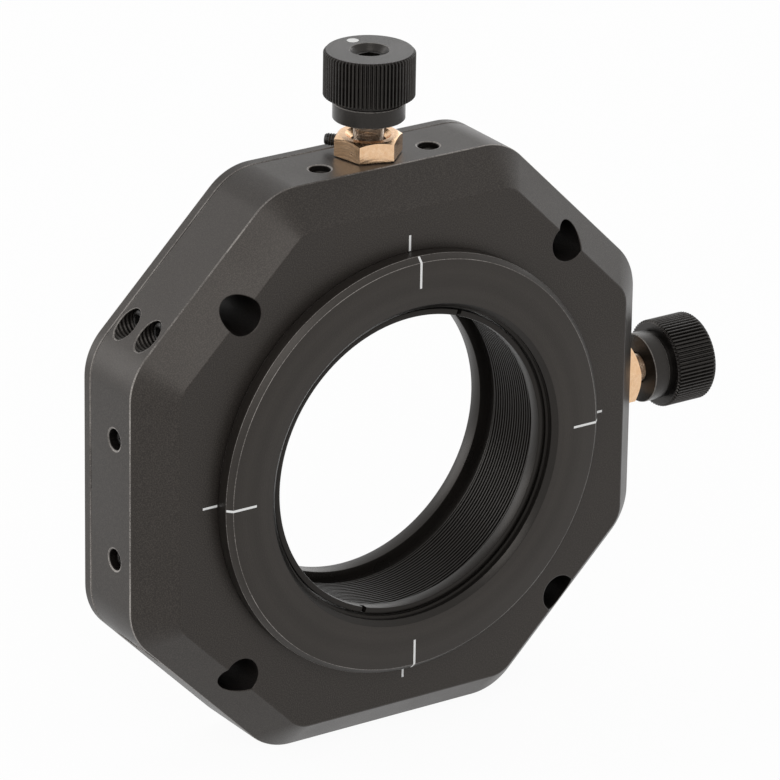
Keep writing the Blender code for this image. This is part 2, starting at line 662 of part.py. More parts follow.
def make_bushing(name, axis, hex_turn, lock_turn, material):
    """Hexagonal threaded bushing with a bore for the fine screw and a cross hole for its lock."""
    prism = hex_prism(HEX_WIDTH, HEX_START, HEX_END + HEX_CHAMFER, hex_turn)
    bushing = place(name + "_bushing", prism, material, axis)
    corner = HEX_WIDTH / sqrt(3)
    face = HEX_WIDTH / 2 - HEX_EDGE
    below = HEX_START - HEX_HEIGHT
    cone_height = HEX_CHAMFER * 2
    cone = [(0, below), (corner * 2, below), (corner * 2, HEX_END - cone_height),
            (face + (corner - face) * 2, HEX_END - cone_height), (face, HEX_END), (0, HEX_END)]
    apply_cut(bushing, "trim_" + name, turned(cone, MEDIUM), "INTERSECT", axis)
    barrel = rod(BUSHING_RADIUS, BUSHING_END, HEX_START + HEX_HEIGHT / 2, MEDIUM)
    apply_cut(bushing, "add_barrel_" + name, barrel, "UNION", axis)
    flare = COUNTERSINK_RADIUS - BUSHING_BORE
    under = BUSHING_END - HEX_HEIGHT
    bore = [(0, under), (BUSHING_BORE, under), (BUSHING_BORE, HEX_END - flare),
            (COUNTERSINK_RADIUS + HEX_HEIGHT, HEX_END + HEX_HEIGHT), (0, HEX_END + HEX_HEIGHT)]
    apply_cut(bushing, "cut_bore_" + name, turned(bore, MEDIUM), parent=axis)
    frame = lock_frame(lock_turn)
    cross = moved(rod(LOCK_SCREW_RADIUS + CLEARANCE, SCREW_RADIUS, HEX_WIDTH, COARSE), frame)
    apply_cut(bushing, "cut_lock_" + name, cross, parent=axis)


def lock_frame(turn):
    """Frame of the lock screw across an adjuster, its local Z pointing out of the hexagon."""
    height = HEX_START + LOCK_SCREW_HEIGHT
    return Matrix.Translation((0, 0, height)) @ Matrix.Rotation(radians(turn), 4, "Z") @ ALONG_X


def make_lock_screw(name, axis, turn, material):
    """Small headless screw that sticks out of the hexagon and grips the fine screw."""
    start = SCREW_RADIUS + CLEARANCE
    screw = moved(rod(LOCK_SCREW_RADIUS, start, LOCK_SCREW_REACH, COARSE), lock_frame(turn))
    place(name + "_lock_screw", screw, material, axis)


def make_fine_screw(name, axis, knob_start, material):
    """Fine screw from the knob through the bushing, with a round seat for the ball."""
    top = knob_start + SCREW_IN_KNOB
    seat = BALL_RADIUS + CLEARANCE
    rim = SCREW_END - BALL_CENTRE
    slope = atan2(sqrt(seat ** 2 - rim ** 2), rim)
    angles = [slope * step / SEAT_STEPS for step in range(SEAT_STEPS + 1)]
    arc = [(seat * sin(angle), BALL_CENTRE + seat * cos(angle)) for angle in angles]
    profile = arc + [(SCREW_RADIUS, SCREW_END), (SCREW_RADIUS, top), (0, top)]
    place(name + "_fine_screw", turned(profile, MEDIUM), material, axis)


def make_thrust_ball(name, axis, material):
    """Hard ball in the end of the fine screw."""
    ball = bmesh.new()
    bmesh.ops.create_uvsphere(ball, u_segments=COARSE, v_segments=COARSE // 2, radius=BALL_RADIUS)
    place(name + "_thrust_ball", moved(ball, Matrix.Translation((0, 0, BALL_CENTRE))), material, axis)


def make_thrust_pad(name, axis, material):
    """Hardened disc that the ball pushes."""
    place(name + "_thrust_pad", rod(PAD_RADIUS, PAD_FACE - PAD_THICKNESS, PAD_FACE, MEDIUM), material, axis)


def make_knob(name, axis, start, material):
    """Turned knob with a plain neck, a groove, a wider grip and a dished top with a hex socket."""
    grip = start + KNOB_NECK_LENGTH
    end = grip + KNOB_GRIP_LENGTH
    dish = end - KNOB_DISH_DEPTH
    bore = SCREW_RADIUS + CLEARANCE
    bore_end = start + SCREW_IN_KNOB + CLEARANCE
    groove = KNOB_NECK_RADIUS - KNOB_GROOVE_DEPTH
    groove_start = grip - KNOB_GROOVE_WIDTH
    profile = [(0, bore_end), (bore, bore_end), (bore, start), (KNOB_NECK_RADIUS - KNOB_NECK_EDGE, start),
               (KNOB_NECK_RADIUS, start + KNOB_NECK_EDGE), (KNOB_NECK_RADIUS, groove_start),
               (groove, groove_start), (groove, grip), (KNOB_RADIUS - KNOB_UNDER_CHAMFER, grip),
               (KNOB_RADIUS, grip + KNOB_UNDER_CHAMFER), (KNOB_RADIUS, end - KNOB_RIM),
               (KNOB_RADIUS - KNOB_RIM, end), (KNOB_DISH_RADIUS, end), (KNOB_DISH_FLOOR, dish), (0, dish)]
    knob = place(name + "_knob", turned(profile, KNOB_STEPS), material, axis)
    socket = hex_prism(KNOB_SOCKET_WIDTH, dish - KNOB_SOCKET_DEPTH, end, 0)
    apply_cut(knob, "cut_socket_" + name, socket, parent=axis)


def make_adjuster(name, axis, hex_turn, lock_turn, knob_gap, materials):
    """Everything that sits on one adjuster axis."""
    knob_start = HEX_END + knob_gap
    make_bushing(name, axis, hex_turn, lock_turn, materials["brass"])
    make_lock_screw(name, axis, lock_turn, materials["black_steel"])
    make_fine_screw(name, axis, knob_start, materials["steel"])
    make_thrust_ball(name, axis, materials["steel"])
    make_thrust_pad(name, axis, materials["steel"])
    make_knob(name, axis, knob_start, materials["knob"])


def main():
    """Build the whole mount."""
    clear_scene()
    materials = {
        "anodised": make_material("black_anodised", (0.035, 0.032, 0.030), 0.35, 0.42),
        "slide": make_material("slide_anodised", (0.05, 0.05, 0.052), 0.4, 0.5),
        "knob": make_material("knob_anodised", (0.022, 0.021, 0.020), 0.35, 0.38),
        "brass": make_material("bronze", (0.78, 0.52, 0.29), 1.0, 0.24),
        "steel": make_material("bright_steel", (0.58, 0.53, 0.47), 1.0, 0.25),
        "black_steel": make_material("black_steel", (0.03, 0.028, 0.027), 0.8, 0.4),
        "spring": make_material("spring_steel", (0.45, 0.44, 0.43), 1.0, 0.35),
    }
    centre = Matrix.Translation((0, ADJUSTER_DEPTH, 0))
    top_axis = link_object("top_axis", None, matrix=centre)
    side_axis = link_object("side_axis", None, matrix=centre @ ALONG_X)
    bottom_frames = side_hole_frames(bottom_and_left=True)[:2]
    left_frames = side_hole_frames(bottom_and_left=True)[2:]

    make_housing(materials["anodised"], (top_axis, side_axis))
    make_rear_cover(materials["anodised"])
    make_cover_screws(materials["black_steel"])
    make_set_screws("rod_clamp_screw", clamp_frames(), CLAMP_HOLE_RADIUS - CLEARANCE, CLAMP_SCREW_START,
                    CLAMP_SCREW_LENGTH, CLAMP_SOCKET_WIDTH, materials["black_steel"])
    make_set_screws("spring_plug", bottom_frames + left_frames, PLUNGER_RADIUS, PLUG_START, PLUG_LENGTH,
                    PLUG_SOCKET_WIDTH, materials["black_steel"])
    make_springs("vertical_spring", bottom_frames, materials["spring"])
    make_springs("lateral_spring", left_frames, materials["spring"])
    make_plungers("vertical_plunger", bottom_frames, FRAME_HALF, materials["steel"])
    make_plungers("lateral_plunger", left_frames, SLIDE_HALF, materials["steel"])
    make_vertical_frame(materials["slide"], top_axis, side_axis)
    make_lateral_slide(materials["slide"], side_axis)
    make_lens_cell(materials["anodised"])
    make_lock_ring(materials["slide"])
    make_retaining_ring(materials["anodised"])
    make_adjuster("top", top_axis, TOP_HEX_TURN, TOP_LOCK_TURN, TOP_KNOB_GAP, materials)
    make_adjuster("side", side_axis, SIDE_HEX_TURN, SIDE_LOCK_TURN, SIDE_KNOB_GAP, materials)


if __name__ == "__main__":
    main()
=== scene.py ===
"""Looks of a two-axis lens translation mount for a 60 mm rod cage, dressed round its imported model.

Metres, +Z up, the optical axis along Y and the housing's front face at y = 0. Every sub-assembly is a
class that holds its sizes and builds its own meshes, and every finish is a procedural material.
"""

from __future__ import annotations

import json
import logging
from dataclasses import dataclass, field
from enum import Enum
from math import atan2, cos, pi, radians, sin, sqrt, tan, tau
from typing import Iterable, Sequence

import bmesh
import bpy
from mathutils import Matrix, Vector
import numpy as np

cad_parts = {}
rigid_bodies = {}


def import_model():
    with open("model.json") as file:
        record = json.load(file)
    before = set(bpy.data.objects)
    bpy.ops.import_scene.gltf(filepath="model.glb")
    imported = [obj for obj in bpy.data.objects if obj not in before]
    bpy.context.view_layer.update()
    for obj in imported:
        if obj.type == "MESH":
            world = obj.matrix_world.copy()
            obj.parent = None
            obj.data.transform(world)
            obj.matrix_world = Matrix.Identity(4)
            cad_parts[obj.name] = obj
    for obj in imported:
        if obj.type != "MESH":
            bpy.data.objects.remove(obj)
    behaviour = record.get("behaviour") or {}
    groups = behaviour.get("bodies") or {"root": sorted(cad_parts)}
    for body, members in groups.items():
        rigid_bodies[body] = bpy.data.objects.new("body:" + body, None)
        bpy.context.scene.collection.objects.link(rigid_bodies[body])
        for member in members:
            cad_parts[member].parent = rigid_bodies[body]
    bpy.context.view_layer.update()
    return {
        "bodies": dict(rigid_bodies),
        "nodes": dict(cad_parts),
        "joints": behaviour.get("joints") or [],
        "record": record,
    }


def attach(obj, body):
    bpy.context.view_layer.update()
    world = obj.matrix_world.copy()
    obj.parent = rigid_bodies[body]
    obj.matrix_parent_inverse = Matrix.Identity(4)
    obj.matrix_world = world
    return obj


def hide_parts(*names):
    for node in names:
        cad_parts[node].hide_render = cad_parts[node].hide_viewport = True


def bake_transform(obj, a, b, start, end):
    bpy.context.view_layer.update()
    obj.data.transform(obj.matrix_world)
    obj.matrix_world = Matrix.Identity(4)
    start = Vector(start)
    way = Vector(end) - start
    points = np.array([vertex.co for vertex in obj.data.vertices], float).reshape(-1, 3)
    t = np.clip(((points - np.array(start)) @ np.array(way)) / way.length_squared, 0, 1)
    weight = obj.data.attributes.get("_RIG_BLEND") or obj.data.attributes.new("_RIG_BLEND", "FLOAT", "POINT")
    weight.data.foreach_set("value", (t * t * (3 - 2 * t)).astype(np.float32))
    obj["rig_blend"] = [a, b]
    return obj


LOG = logging.getLogger("mount")
MM = 0.001
SHARP_ANGLE = radians(28)
# Material number of broken edges, whose paler finish is partly wear and partly a painted highlight.
WORN_EDGE_AND_HIGHLIGHT = 1
# Material number of walls inside holes and bores, which take darker copies of the finish as painted shade.
SHADED_HOLE_WALL = 2
MARK_WIDTH = 0.38 * MM
THREAD_HALF_WIDTH = 0.36
NOISE_RANGE = (0.3, 0.7)
TONE_RANGE = (-0.5, 1.0)
DARKEST = 0.001
BUMP_HEIGHT = 0.02 * MM
WELD = 1e-7
COIL_TIP = 0.05
CORNER_SLACK = radians(1)

Tree = bpy.types.NodeTree
Node = bpy.types.Node
Socket = bpy.types.NodeSocket
Value = Socket | float
NewTree = tuple[Tree, Node, Node]
Material = bpy.types.Material
Mesh = bpy.types.Mesh
Object = bpy.types.Object
Shape = bmesh.types.BMesh
Point = tuple[float, float]
Triple = tuple[float, float, float]
WARM: Triple = (1.0, 0.93, 0.87)
PLAIN: Triple = (1.0, 1.0, 1.0)


class Direction(Enum):
    """The two ways that an adjuster can point."""

    TOP = "top"
    SIDE = "side"


class Flow(Enum):
    """Where the fine tool lines of a finish run."""

    NONE = "none"
    LENS_AXIS = "lens_axis"
    TOP_AXIS = "top_axis"
    SIDE_AXIS = "side_axis"


def fill(tree: Tree, node: Node, inputs: dict[str | int, object]) -> None:
    """Give inputs of a node, by name or number, each a socket or a value.

    Args:
        tree: Tree that holds the node.
        node: Node that gets them.
        inputs: Socket or value of each input, by its name or number.
    """
    for name, value in inputs.items():
        if isinstance(value, bpy.types.NodeSocket):
            tree.links.new(value, node.inputs[name])
        else:
            node.inputs[name].default_value = value


def put(tree: Tree, kind: str, inputs: dict | None = None, **settings: object) -> Node:
    """Add a node to a tree.

    Args:
        tree: Tree that gets the node.
        kind: Blender's name of the node type.
        inputs: Socket or value of each input that isn't left as it is.
        settings: Properties of the node, set before its inputs.

    Returns:
        The new node.
    """
    node = tree.nodes.new(kind)
    for name, value in settings.items():
        setattr(node, name, value)
    fill(tree, node, inputs or {})
    return node


def noise(tree: Tree, vector: Socket, scale: Value, detail: float, roughness: float) -> Socket:
    """Value of a noise texture read at a vector."""
    inputs = {"Vector": vector, "Scale": scale, "Detail": detail, "Roughness": roughness}
    return put(tree, "ShaderNodeTexNoise", inputs).outputs["Fac"]


def math_node(tree: Tree, operation: str, first: Value, second: Value) -> Socket:
    """Result of a sum on two values, each a socket or a number."""
    return put(tree, "ShaderNodeMath", {0: first, 1: second}, operation=operation).outputs[0]


def ramp(tree: Tree, value: Value, low: float, high: float,
         to_low: float = 0.0, to_high: float = 1.0) -> Socket:
    """Clamped change of range from low..high to to_low..to_high."""
    inputs = {"Value": value, "From Min": low, "From Max": high, "To Min": to_low, "To Max": to_high}
    return put(tree, "ShaderNodeMapRange", inputs).outputs["Result"]


def swing(tree: Tree, value: Value, share: float) -> Socket:
    """Noise spread over -1 to 1 and scaled."""
    return math_node(tree, "MULTIPLY", ramp(tree, value, *NOISE_RANGE, -1, 1), share)


class EffectLibrary:
    """Shader node groups shared by the finishes, each made once."""

    speck_radius = 0.05
    speck_share = (0.93, 0.94)
    smear_scale = 35.0
    smear_range = (0.52, 0.75)

    def __init__(self) -> None:
        """Build the groups."""
        self.blasted = self._blasted()
        self.tool_lines = self._tool_lines()
        self.handling = self._handling()

    @staticmethod
    def _group(name: str, numbers: dict[str, float], outputs: Sequence[str]) -> NewTree:
        """Empty shader group that reads a vector and some numbers.

        Args:
            name: Name of the group.
            numbers: Default of each number that it reads.
            outputs: Names of the values that it puts out.

        Returns:
            The group and its input and output nodes.
        """
        tree = bpy.data.node_groups.new(name, "ShaderNodeTree")
        tree.interface.new_socket("Vector", in_out="INPUT", socket_type="NodeSocketVector")
        for label, value in numbers.items():
            socket = tree.interface.new_socket(label, in_out="INPUT", socket_type="NodeSocketFloat")
            socket.default_value = value
        for label in outputs:
            tree.interface.new_socket(label, in_out="OUTPUT", socket_type="NodeSocketFloat")
        return tree, tree.nodes.new("NodeGroupInput"), tree.nodes.new("NodeGroupOutput")

    def _blasted(self) -> Tree:
        """Fine bead-blasted grain over slow cloudy change of tone.

        Returns:
            Group with Height, Grain and Cloud outputs.
        """
        numbers = {"Grain scale": 6000.0, "Cloud scale": 60.0}
        tree, start, end = self._group("blasted_grain", numbers, ("Height", "Grain", "Cloud"))
        vector = start.outputs["Vector"]
        fine = noise(tree, vector, start.outputs["Grain scale"], detail=3.0, roughness=0.6)
        slow = noise(tree, vector, start.outputs["Cloud scale"], detail=4.0, roughness=0.55)
        fill(tree, end, {"Height": fine, "Grain": fine, "Cloud": slow})
        return tree

    def _tool_lines(self) -> Tree:
        """Fine lines that a lathe leaves round a Z axis, on faces and on walls alike, and a painted sheen
        along them.

        Returns:
            Group with Height and Sheen outputs.
        """
        tree, start, end = self._group("turning_lines", {"Lines per metre": 9000.0}, ("Height", "Sheen"))
        split = put(tree, "ShaderNodeSeparateXYZ", {0: start.outputs["Vector"]})
        flat = put(tree, "ShaderNodeCombineXYZ", {axis: split.outputs[axis] for axis in "XY"})
        length = put(tree, "ShaderNodeVectorMath", {0: flat.outputs[0]}, operation="LENGTH")
        along = math_node(tree, "ADD", length.outputs["Value"], split.outputs["Z"])
        scaled = math_node(tree, "MULTIPLY", along, start.outputs["Lines per metre"])
        for output, scale, detail in (("Height", 1.0, 2.0), ("Sheen", 0.06, 3.0)):
            inputs = {"W": scaled, "Scale": scale, "Detail": detail}
            lines = put(tree, "ShaderNodeTexNoise", inputs, noise_dimensions="1D")
            fill(tree, end, {output: lines.outputs["Fac"]})
        return tree

    def _handling(self) -> Tree:
        """Sparse bright specks and soft smears from handling.

        Returns:
            Group with Specks and Smears outputs.
        """
        tree, start, end = self._group("handling_marks", {"Speck scale": 900.0}, ("Specks", "Smears"))
        vector = start.outputs["Vector"]
        inputs = {"Vector": vector, "Scale": start.outputs["Speck scale"]}
        dots = put(tree, "ShaderNodeTexVoronoi", inputs, feature="F1")
        near = ramp(tree, dots.outputs["Distance"], self.speck_radius, 0.0)
        pick = put(tree, "ShaderNodeSeparateColor", {0: dots.outputs["Color"]})
        rare = ramp(tree, pick.outputs[0], *self.speck_share)
        smear = noise(tree, vector, self.smear_scale, detail=2.0, roughness=0.5)
        fill(tree, end, {"Specks": math_node(tree, "MULTIPLY", near, rare),
                         "Smears": ramp(tree, smear, *self.smear_range)})
        return tree


@dataclass(frozen=True)
class Finish:
    """A metal finish: base tone, gloss, grain, tool lines with their painted sheen, and how it wears."""

    name: str
    base: Triple
    pale: Triple
    roughness: float
    metallic: float = 0.0
    specular: float = 0.42
    tint: Triple = WARM
    grain_scale: float = 5200.0
    grain_depth: float = 0.9
    grain_tone: float = 1.5
    cloud_tone: float = 0.14
    cloud_gloss: float = 0.25
    lines_depth: float = 0.0
    lines_sheen_tone: float = 0.0
    lines_per_metre: float = 9000.0
    speck_tone: float = 0.35
    smear_gloss: float = 0.06
    flow: Flow = Flow.NONE

    def material(self, effects: EffectLibrary) -> Material:
        """Principled material of this finish.

        Args:
            effects: Shared shader groups.

        Returns:
            The new material.
        """
        made = bpy.data.materials.new(self.name)
        made.use_nodes = True
        tree = made.node_tree
        place = put(tree, "ShaderNodeTexCoord").outputs["Object"]
        inputs = {"Vector": place, "Grain scale": self.grain_scale}
        grain = put(tree, "ShaderNodeGroup", inputs, node_tree=effects.blasted)
        marks = put(tree, "ShaderNodeGroup", {"Vector": place}, node_tree=effects.handling)
        cloud = swing(tree, grain.outputs["Cloud"], self.cloud_tone)
        total = math_node(tree, "ADD", swing(tree, grain.outputs["Grain"], self.grain_tone), cloud)
        height = math_node(tree, "MULTIPLY", grain.outputs["Height"], self.grain_depth)
        if self.flow is not Flow.NONE:
            inputs = {"Vector": self._about_axis(tree, place), "Lines per metre": self.lines_per_metre}
            lines = put(tree, "ShaderNodeGroup", inputs, node_tree=effects.tool_lines)
            # The lines' sheen is painted into the base colour's tone.
            total = math_node(tree, "ADD", total, swing(tree, lines.outputs["Sheen"], self.lines_sheen_tone))
            ridge = math_node(tree, "MULTIPLY", lines.outputs["Height"], self.lines_depth)
            height = math_node(tree, "ADD", height, ridge)
        specks = math_node(tree, "MULTIPLY", marks.outputs["Specks"], self.speck_tone)
        share = ramp(tree, math_node(tree, "ADD", total, specks), *TONE_RANGE)
        dark = (max(base + TONE_RANGE[0] * (pale - base), DARKEST)
                for base, pale in zip(self.base, self.pale))
        inputs = {"Factor": share, "A": (*dark, 1.0), "B": (*self.pale, 1.0)}
        mix = put(tree, "ShaderNodeMix", inputs, data_type="RGBA")
        gloss = math_node(tree, "MULTIPLY", marks.outputs["Smears"], -self.smear_gloss)
        rough = math_node(tree, "ADD", math_node(tree, "MULTIPLY", cloud, self.cloud_gloss), self.roughness)
        bump = put(tree, "ShaderNodeBump", {"Strength": 1.0, "Distance": BUMP_HEIGHT, "Height": height})
        fill(tree, tree.nodes["Principled BSDF"], {
            "Metallic": self.metallic, "Specular IOR Level": self.specular,
            "Specular Tint": (*self.tint, 1.0), "Base Color": mix.outputs["Result"],
            "Roughness": math_node(tree, "ADD", rough, gloss), "Normal": bump.outputs["Normal"]})
        return made

    def _about_axis(self, tree: Tree, place: Socket) -> Socket:
        """Object coordinates turned so that the part's turning axis is Z.

        Args:
            tree: Tree of the material.
            place: Object coordinates.

        Returns:
            The turned coordinates.
        """
        depth = AdjusterSizes().depth
        location, rotation = {
            Flow.LENS_AXIS: ((0, 0, 0), (-pi / 2, 0, 0)),
            Flow.TOP_AXIS: ((0, depth, 0), (0, 0, 0)),
            Flow.SIDE_AXIS: ((0, depth, 0), (0, pi / 2, 0)),
        }[self.flow]
        inputs = {"Location": location, "Rotation": rotation, "Vector": place}
        return put(tree, "ShaderNodeMapping", inputs, vector_type="TEXTURE").outputs["Vector"]


@dataclass
class Paintbox:
    """All the finishes of the mount, and the materials made from them."""

    effects: EffectLibrary = field(default_factory=EffectLibrary)
    made: dict[str, Material] = field(default_factory=dict)

    anodised = Finish("black_anodised_blasted", (0.018, 0.0152, 0.0132), (0.034, 0.0292, 0.0255), 0.42)
    # Darker, duller copy of the anodising for the walls of the pocket and holes: painted shade in the
    # recesses.
    inner = Finish("anodised_hole_wall", (0.007, 0.006, 0.0055), (0.014, 0.012, 0.011), 0.40, specular=0.16)
    # Paler copy of the anodising for broken edges: partly wear, partly a painted highlight on edges that
    # catch the light.
    edge = Finish("anodised_edge", (0.16, 0.148, 0.138), (0.33, 0.308, 0.288), 0.40, specular=0.5,
                  grain_tone=0.8, cloud_tone=1.0)
    turned = Finish("black_anodised_turned", (0.017, 0.0145, 0.0125), (0.033, 0.0285, 0.025), 0.38,
                    grain_tone=0.25, lines_depth=0.5, lines_sheen_tone=0.16, flow=Flow.LENS_AXIS)
    # Darker copy of the turned anodising for the cell's bore: painted shade inside the bore.
    bore = Finish("black_anodised_bore", (0.010, 0.0088, 0.0078), (0.022, 0.019, 0.017), 0.30, specular=0.3,
                  grain_tone=0.15, lines_depth=0.5, lines_sheen_tone=0.2, flow=Flow.LENS_AXIS)
    # Darker copy of the anodising for the thread ridges in the cell's bore: painted shade inside the bore.
    thread = Finish("black_anodised_thread", (0.008, 0.007, 0.006), (0.017, 0.015, 0.0135), 0.38,
                    specular=0.22, grain_tone=0.2)
    # Somewhat darker, duller copy of the anodising for the thread ridges in the small holes: painted shade in
    # the holes.
    hole_thread = Finish("black_anodised_hole_thread", (0.012, 0.0105, 0.009), (0.030, 0.026, 0.023), 0.36,
                         specular=0.3, grain_tone=0.5)
    # Darker copy of the turned anodising for the ring sunk in the bore: painted shade inside the bore.
    ring = Finish("retaining_ring_black", (0.009, 0.0078, 0.0068), (0.018, 0.016, 0.014), 0.30,
                  specular=0.24, grain_tone=0.2, lines_depth=0.4, lines_sheen_tone=0.15, flow=Flow.LENS_AXIS)
    slide = Finish("slide_anodised_milled", (0.026, 0.024, 0.022), (0.048, 0.045, 0.042), 0.42)
    black_steel = Finish("black_oxide_steel", (0.016, 0.015, 0.014), (0.045, 0.042, 0.039), 0.34,
                         metallic=0.3, tint=PLAIN)
    bright_steel = Finish("turned_bright_steel", (0.42, 0.38, 0.34), (0.60, 0.56, 0.52), 0.26,
                          metallic=1.0, tint=PLAIN)
    spring_steel = Finish("spring_wire_steel", (0.38, 0.37, 0.36), (0.56, 0.55, 0.54), 0.32,
                          metallic=1.0, tint=PLAIN)
    paint = Finish("white_engraving_paint", (0.80, 0.80, 0.79), (0.86, 0.86, 0.85), 0.55, tint=PLAIN,
                   grain_depth=0.1, grain_tone=0.05, cloud_tone=0.05, speck_tone=0.0)

    def material(self, finish: Finish) -> Material:
        """The material of a finish, made on first use.

        Args:
            finish: One of the finishes.

        Returns:
            Its material.
        """
        if finish.name not in self.made:
            self.made[finish.name] = finish.material(self.effects)
        return self.made[finish.name]

    def knob(self, flow: Flow) -> Finish:
        """Glossier black finish of the knobs, turned about one adjuster's axis.

        Args:
            flow: Axis that its tool lines run round.

        Returns:
            The finish.
        """
        return Finish(f"knob_black_{flow.value}", (0.006, 0.0054, 0.0048), (0.015, 0.0135, 0.012), 0.24,
                      specular=0.40, grain_depth=0.7, grain_tone=0.7, lines_depth=0.8, lines_sheen_tone=0.2,
                      flow=flow)

    def bronze(self, flow: Flow) -> Finish:
        """Machined bronze of the bushings.

        Args:
            flow: Axis that its tool lines run round.

        Returns:
            The finish.
        """
        return Finish(f"bushing_bronze_{flow.value}", (0.80, 0.54, 0.335), (0.93, 0.70, 0.48), 0.26,
                      metallic=1.0, tint=PLAIN, grain_scale=1500, grain_depth=1.1, grain_tone=0.3,
                      cloud_tone=0.5, lines_depth=0.8, lines_sheen_tone=0.3, lines_per_metre=3200, flow=flow)

    def screw(self, flow: Flow) -> Finish:
        """Fine-turned steel of the adjuster screws, its colour warmed by a painted reflection of the bronze
        round it.

        Args:
            flow: Axis that its tool lines run round.

        Returns:
            The finish.
        """
        return Finish(f"fine_screw_steel_{flow.value}", (0.34, 0.27, 0.21), (0.58, 0.48, 0.38), 0.28,
                      metallic=1.0, tint=PLAIN, lines_depth=1.6, lines_sheen_tone=0.5, lines_per_metre=3600,
                      flow=flow)


def tidy_mesh(name: str, shape: Shape, turn_out: bool = True) -> Mesh:
    """Finish a bmesh: doubles merged, faces outwards, smooth except at sharp edges.

    Args:
        name: Name of the mesh.
        shape: Geometry, freed here.
        turn_out: Whether to recalculate the normals.

    Returns:
        The mesh.
    """
    bmesh.ops.remove_doubles(shape, verts=shape.verts, dist=WELD)
    if turn_out:
        bmesh.ops.recalc_face_normals(shape, faces=shape.faces)
    mesh = bpy.data.meshes.new(name)
    shape.to_mesh(mesh)
    shape.free()
    mesh.shade_smooth()
    mesh.set_sharp_from_angle(angle=SHARP_ANGLE)
    return mesh


def link(name: str, mesh: Mesh, materials: Iterable[Material] = ()) -> Object:
    """Put a mesh in the scene with its materials.

    Args:
        name: Name of the piece.
        mesh: Its mesh.
        materials: Its materials, in the order of their slots.

    Returns:
        The piece.
    """
    for material in materials:
        mesh.materials.append(material)
    piece = bpy.data.objects.new(name, mesh)
    bpy.context.scene.collection.objects.link(piece)
    return piece


def evaluated_copy(name: str, source: Object) -> Mesh:
    """Plain mesh of an object with its modifiers applied; the source is removed.

    Args:
        name: Name of the new mesh.
        source: Object with modifiers.

    Returns:
        The plain mesh.
    """
    bpy.context.view_layer.update()
    graph = bpy.context.evaluated_depsgraph_get()
    mesh = bpy.data.meshes.new_from_object(source.evaluated_get(graph), depsgraph=graph)
    mesh.name = name
    bpy.data.objects.remove(source)
    return mesh


def solid(name: str, shape: Shape, materials: Iterable[Material] = ()) -> Object:
    """Finish a shape and put it in the scene."""
    return link(name, tidy_mesh(name, shape), materials)


def add_cut(body: Object, tool: Object) -> None:
    """Cut a tool out of a body when the body is evaluated.

    Args:
        body: Object to cut.
        tool: Object whose form is cut out of it.
    """
    cut = body.modifiers.new("cut", "BOOLEAN")
    cut.operation = "DIFFERENCE"
    cut.solver = "EXACT"
    cut.object = tool


def skin(rings: Sequence[Sequence[Triple]], closed_tube: bool = False, marks: Sequence[int] = ()) -> Shape:
    """Skin a solid through rings of points.

    Args:
        rings: Loops with the same number of points.
        closed_tube: Join the last ring to the first in place of capping both.
        marks: Numbers of the spans, each from one ring to the next, whose faces take material 1.

    Returns:
        The new shape.
    """
    shape = bmesh.new()
    loops = [[shape.verts.new(point) for point in ring] for ring in rings]
    spans = list(zip(loops, loops[1:] + loops[:1] if closed_tube else loops[1:]))
    for number, (low, high) in enumerate(spans):
        for index, vertex in enumerate(low):
            following = (index + 1) % len(low)
            face = shape.faces.new((vertex, low[following], high[following], high[index]))
            face.material_index = WORN_EDGE_AND_HIGHLIGHT if number in marks else 0
    if not closed_tube:
        shape.faces.new(loops[0])
        shape.faces.new(loops[-1])
    return shape


def circle(radius: float, height: float, steps: int) -> list[Triple]:
    """Round loop about Z at one height."""
    return [(radius * cos(tau * k / steps), radius * sin(tau * k / steps), height) for k in range(steps)]


def broken(profile: Sequence[Point], widths: Sequence[float]) -> tuple[list[Point], list[int]]:
    """Break the corners of a closed profile.

    Args:
        profile: Corners as (radius, height).
        widths: How far each corner is cut back along both its sides, 0 to keep it.

    Returns:
        The new points, and the numbers of the spans that are broken edges.
    """
    points: list[Point] = []
    marks: list[int] = []
    bulge = 0.29
    count = len(profile)
    for index, (corner, width) in enumerate(zip(profile, widths)):
        here = Vector(corner)
        if not width:
            points.append(corner)
            continue
        before = (Vector(profile[index - 1]) - here).normalized() * width
        after = (Vector(profile[(index + 1) % count]) - here).normalized() * width
        middle = here + (before + after) * bulge
        for offset in (here + before, middle, here + after):
            points.append((offset.x, offset.y))
        marks += [len(points) - 3, len(points) - 2]
    return points, marks


def lathe(profile: Sequence[Point], widths: Sequence[float], steps: int) -> Shape:
    """Revolve a closed profile about Z, with its corners broken and marked as material 1."""
    points, marks = broken(profile, widths)
    return skin([circle(radius, height, steps) for radius, height in points], closed_tube=True, marks=marks)


def solid_lathe(profile: Sequence[Point], steps: int) -> Shape:
    """Revolve an open profile whose ends are capped flat."""
    return skin([circle(radius, height, steps) for radius, height in profile])


def moved(shape: Shape, matrix: Matrix) -> Shape:
    """Move a shape and hand it back."""
    bmesh.ops.transform(shape, matrix=matrix, verts=shape.verts)
    return shape


def merge(shapes: Iterable[Shape]) -> Shape:
    """Join shapes into one and free them.

    Args:
        shapes: Shapes to join.

    Returns:
        The one shape.
    """
    total = bmesh.new()
    for shape in shapes:
        mesh = bpy.data.meshes.new("part")
        shape.to_mesh(mesh)
        shape.free()
        total.from_mesh(mesh)
        bpy.data.meshes.remove(mesh)
    return total


ALONG_Y = Matrix.Rotation(-pi / 2, 4, "X")
ALONG_X = Matrix.Rotation(pi / 2, 4, "Y")


@dataclass(frozen=True)
class Coil:
    """A spring's wire or the ridge of a thread, wound about Z between two heights."""

    radius: float
    low: float
    high: float
    turns: float
    half_depth: float
    half_width: float
    run_out: float
    steps: int = 24
    sides: int = 4
    section_turn: float = 0.0

    def values(self, material: Material) -> dict[str, object]:
        """Values for the inputs of the coil's tree, which have this class's names in plain words."""
        named = {name.replace("_", " ").capitalize(): value for name, value in vars(self).items()}
        return {**named, "Length": self.high - self.low, "Material": material}


